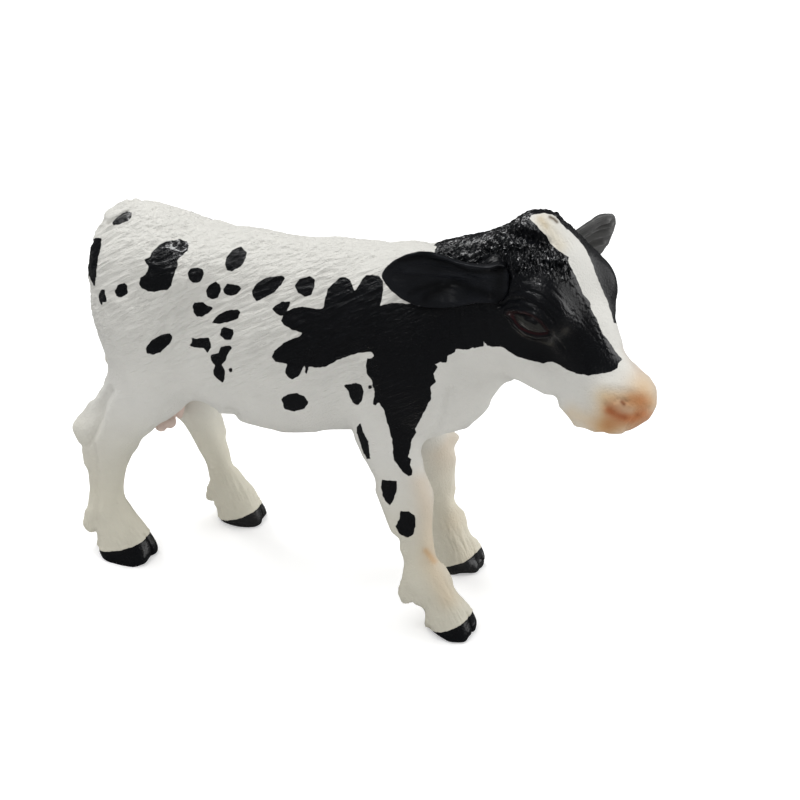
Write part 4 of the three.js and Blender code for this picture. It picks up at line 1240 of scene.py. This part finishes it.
def bend_leaf(leaf, ear):
    """Hollows, rolls and folds the flat leaf, sets it in the head, and keeps its enamel's colour, with
    painted light on the roll and ridges and painted shade in the folds and on the back.
    """
    points = points_of(leaf) / mm
    flat = points[:, [1, 0]]
    front = ramp(points[:, 2], *leaf_front)
    depth = np.maximum(inside_outline(flat, ear["outline"]), 0)
    edge = (1 - ramp(depth, *leaf_edge)) * ramp(points[:, 1], *leaf_root)
    points[:, 2] *= 1 - edge_thinning * edge
    bend = -ear["hollow"] * (1 - bell(depth, hollow_edge))
    rolled = ramp(inside_outline(flat, ear["roll"]), *roll_edge)
    bend += front * ear["roll_height"] * rolled
    # The roll is painted lighter: painted light
    tone = flat_tone + roll_painted_light * rolled + brushed_tone * noise_at(points * brush_marks, 1)
    for line, half_width, height, left_over in ear["folds"]:
        in_fold = front * bell(from_line(flat, line), half_width)
        bend += height * in_fold
        # Folds are painted darker as painted shade, ridges lighter as painted highlights
        tone *= 1 + (left_over - 1) * in_fold
    # The back of the leaf is painted darker: painted shade
    tone *= back_painted_shade + (1 - back_painted_shade) * front
    hair = strands(points, np.ones(len(points)), leaf_hair_way, leaf_hair_width, leaf_hair_length)
    bend += hair * leaf_hair_height
    lift = ear["lift"] * (1 - ramp(points[:, 1], *lift_along))
    bend -= ear["tuck"] * (1 - ramp(points[:, 1], *tuck_along))
    root, along, across = (np.array(ear[key]) for key in ("root", "along", "across"))
    out = np.cross(across, along)
    placed = np.column_stack((points[:, 1], points[:, 0] + lift * lift_lean, points[:, 2] + bend + lift))
    placed = root + placed @ np.array((along, across, out))
    move_points(leaf, placed * mm)
    keep_on(leaf, "enamel_colour_and_painted_light", tone[:, None] * ear["enamel"])
    choose(leaf)
    bpy.ops.object.shade_smooth_by_angle(angle=ear_crease_angle)


ear_hair_lean = 1.5
ear_hair_depth = 0.1 * mm
ear_tones = (0.7, 1.5)
ear_roughness = (0.28, 0.46)
ear_specular = 0.35


def ear_material():
    """Black enamel, with the painted light and shade kept on each point, over carved hair, thinner in some
    blotches than in others.
    """
    material, tree, shader = new_material("black_enamel")
    _, tone, hair_height, grain_height = cast_surface(tree, ear_hair_lean)
    enamel = kept_on(tree, "enamel_colour_and_painted_light").outputs["Color"]
    finish = {
        "Base Color": mix_colours(tree, 1.0, enamel, between(tree, tone, *ear_tones), "MULTIPLY"),
        "Roughness": between(tree, tone, *ear_roughness),
        "Specular IOR Level": ear_specular,
        "Normal": surface_normal(tree, hair_height, grain_height, ear_hair_depth),
    }
    feed(tree, shader, finish)
    return material


ear_finish = ear_material()
for name, ear in ears.items():
    leaf = leaf_body(name, ear)
    bend_leaf(leaf, ear)
    leaf.data.materials.clear()
    leaf.data.materials.append(ear_finish)
    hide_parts(name)
    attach(leaf, "root")


# Tail
# The tail hangs down between the thighs, its hair combed along it. It is a thin casting of bare white PVC,
# glued in under the tail head, and grown here from its solid, a little further in.

tail_colour = white_pvc * (1, 0.97, 0.9)
tail_shift = 0.6 * mm
trim_growth = 0.1 * mm
trim_voxel = 0.12 * mm
trim_smoothing = 16
trim_hair_way = (0.1, 0, 1)
trim_hair_width = 0.4 * mm
trim_hair_length = 3 * mm
trim_hair_height = 0.06 * mm
fine_hair_depth = 0.06 * mm
trim_tones = (0.85, 1.08)


def plain_material(name, colour):
    """Bare PVC of one colour, with the blotches, grain and hair of the casting."""
    material, tree, shader = new_material(name)
    _, tone, hair_height, grain_height = cast_surface(tree)
    finish = {
        "Base Color": mix_colours(tree, 1.0, (*colour, 1), between(tree, tone, *trim_tones), "MULTIPLY"),
        "Roughness": between(tree, tone, *pvc_roughness),
        "Specular IOR Level": pvc_specular,
        "Normal": surface_normal(tree, hair_height, grain_height, fine_hair_depth),
    }
    feed(tree, shader, finish)
    return material


def small_casting(node, finish, balls=(), shift=0.0):
    """A small piece grown from its solid and a few balls, and shifted along X."""
    piece = cad_copy(node)
    piece.name = "calf_" + node
    for place, size in balls:
        bpy.ops.object.select_all(action="DESELECT")
        bpy.ops.mesh.primitive_uv_sphere_add(radius=mm, location=Vector(place) * mm, scale=size)
        choose(piece, bpy.context.object)
        bpy.ops.object.join()
    grow(piece, trim_growth)
    make_one(piece, trim_voxel, trim_smoothing)
    points, normals = points_of(piece), normals_of(piece)
    hair = strands(points, np.ones(len(points)), trim_hair_way, trim_hair_width, trim_hair_length)
    move_points(piece, points + normals * hair[:, None] * trim_hair_height + (shift, 0, 0))
    choose(piece)
    bpy.ops.object.shade_smooth()
    piece.data.materials.clear()
    piece.data.materials.append(finish)
    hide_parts(node)
    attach(piece, "root")


small_casting("tail", plain_material("white_pvc_tail", tail_colour), shift=tail_shift)


# Udder
# A small bag with four teats, cast in pink PVC and glued in under the belly, between the hind legs.
# It is grown from its solid, with two small balls that fill it out low on its right side.

udder_colour = (0.62, 0.49, 0.43)
udder_balls = [((-25.7, -2.2, 16.9), (0.75, 0.65, 0.8)), ((-24.5, -2.2, 17.6), (0.75, 0.65, 0.8))]

small_casting("udder", plain_material("pink_pvc", udder_colour), balls=udder_balls)


# Studio
# A white sweep and a white backdrop under a wide soft lamp overhead and another on the far side, and three
# small lamps that the enamel mirrors. The background is lit for the camera alone, whiter the further off.

pure_white = (1, 1, 1, 1)
sweep_side = 6
sweep_white = 0.82
sweep_roughness = 0.9
# The sweep glows between these distances from the calf, in metres, from the first strength to the second
sweep_glow = {"From Min": 0.15, "From Max": 0.6, "To Min": 0.34, "To Max": 1.0}
backdrop_light = 0.58
seen_in_gloss = 0.06

bpy.ops.object.select_all(action="DESELECT")
bpy.ops.mesh.primitive_plane_add(size=sweep_side, location=(0, 0, 0))
floor = bpy.context.object
floor.name = "floor"
material, tree, shader = new_material("white_sweep")
path = add_node(tree, "ShaderNodeLightPath")
place = add_node(tree, "ShaderNodeTexCoord").outputs["Object"]
away = add_node(tree, "ShaderNodeVectorMath", {0: place}, operation="LENGTH").outputs["Value"]
glow = add_node(tree, "ShaderNodeMapRange", {"Value": away, **sweep_glow}).outputs[0]
finish = {
    "Base Color": between(tree, path.outputs["Is Glossy Ray"], sweep_white, seen_in_gloss),
    "Roughness": sweep_roughness,
    "Specular IOR Level": 0,
    "Emission Color": pure_white,
    "Emission Strength": worked_out(tree, "MULTIPLY", path.outputs["Is Camera Ray"], glow),
}
feed(tree, shader, finish)
floor.data.materials.append(material)

lamp_aim = Vector((0, 0, 25)) * mm


def soft_lamp(name, place, side, power, mirrored_in_gloss):
    """A square lamp turned to the middle of the calf."""
    bpy.ops.object.light_add(type="AREA", location=Vector(place) * mm)
    lamp = bpy.context.object
    lamp.name = name
    lamp.data.shape = "SQUARE"
    lamp.data.size = side * mm
    lamp.data.energy = power
    lamp.visible_glossy = mirrored_in_gloss
    lamp.rotation_euler = (lamp_aim - lamp.location).to_track_quat("-Z", "Y").to_euler()


soft_lamp("overhead_lamp", (-60, -80, 400), 260, 0.46, False)
soft_lamp("sheen_lamp", (-125, 50, 430), 100, 0.52, True)
soft_lamp("back_lamp", (-300, 130, 300), 110, 0.3, True)
soft_lamp("glint_lamp", (-90, -260, 330), 40, 0.1, True)
soft_lamp("far_lamp", (300, 160, 120), 360, 0.8, True)

world = bpy.data.worlds.new("studio")
bpy.context.scene.world = world
world.use_nodes = True
tree = world.node_tree
backdrop = tree.nodes["Background"]
path = add_node(tree, "ShaderNodeLightPath")
reflected = between(tree, path.outputs["Is Glossy Ray"], backdrop_light, seen_in_gloss)
strength = between(tree, path.outputs["Is Camera Ray"], reflected, 1.0)
feed(tree, backdrop, {"Color": pure_white, "Strength": strength})

bpy.context.scene.view_settings.view_transform = "Standard"
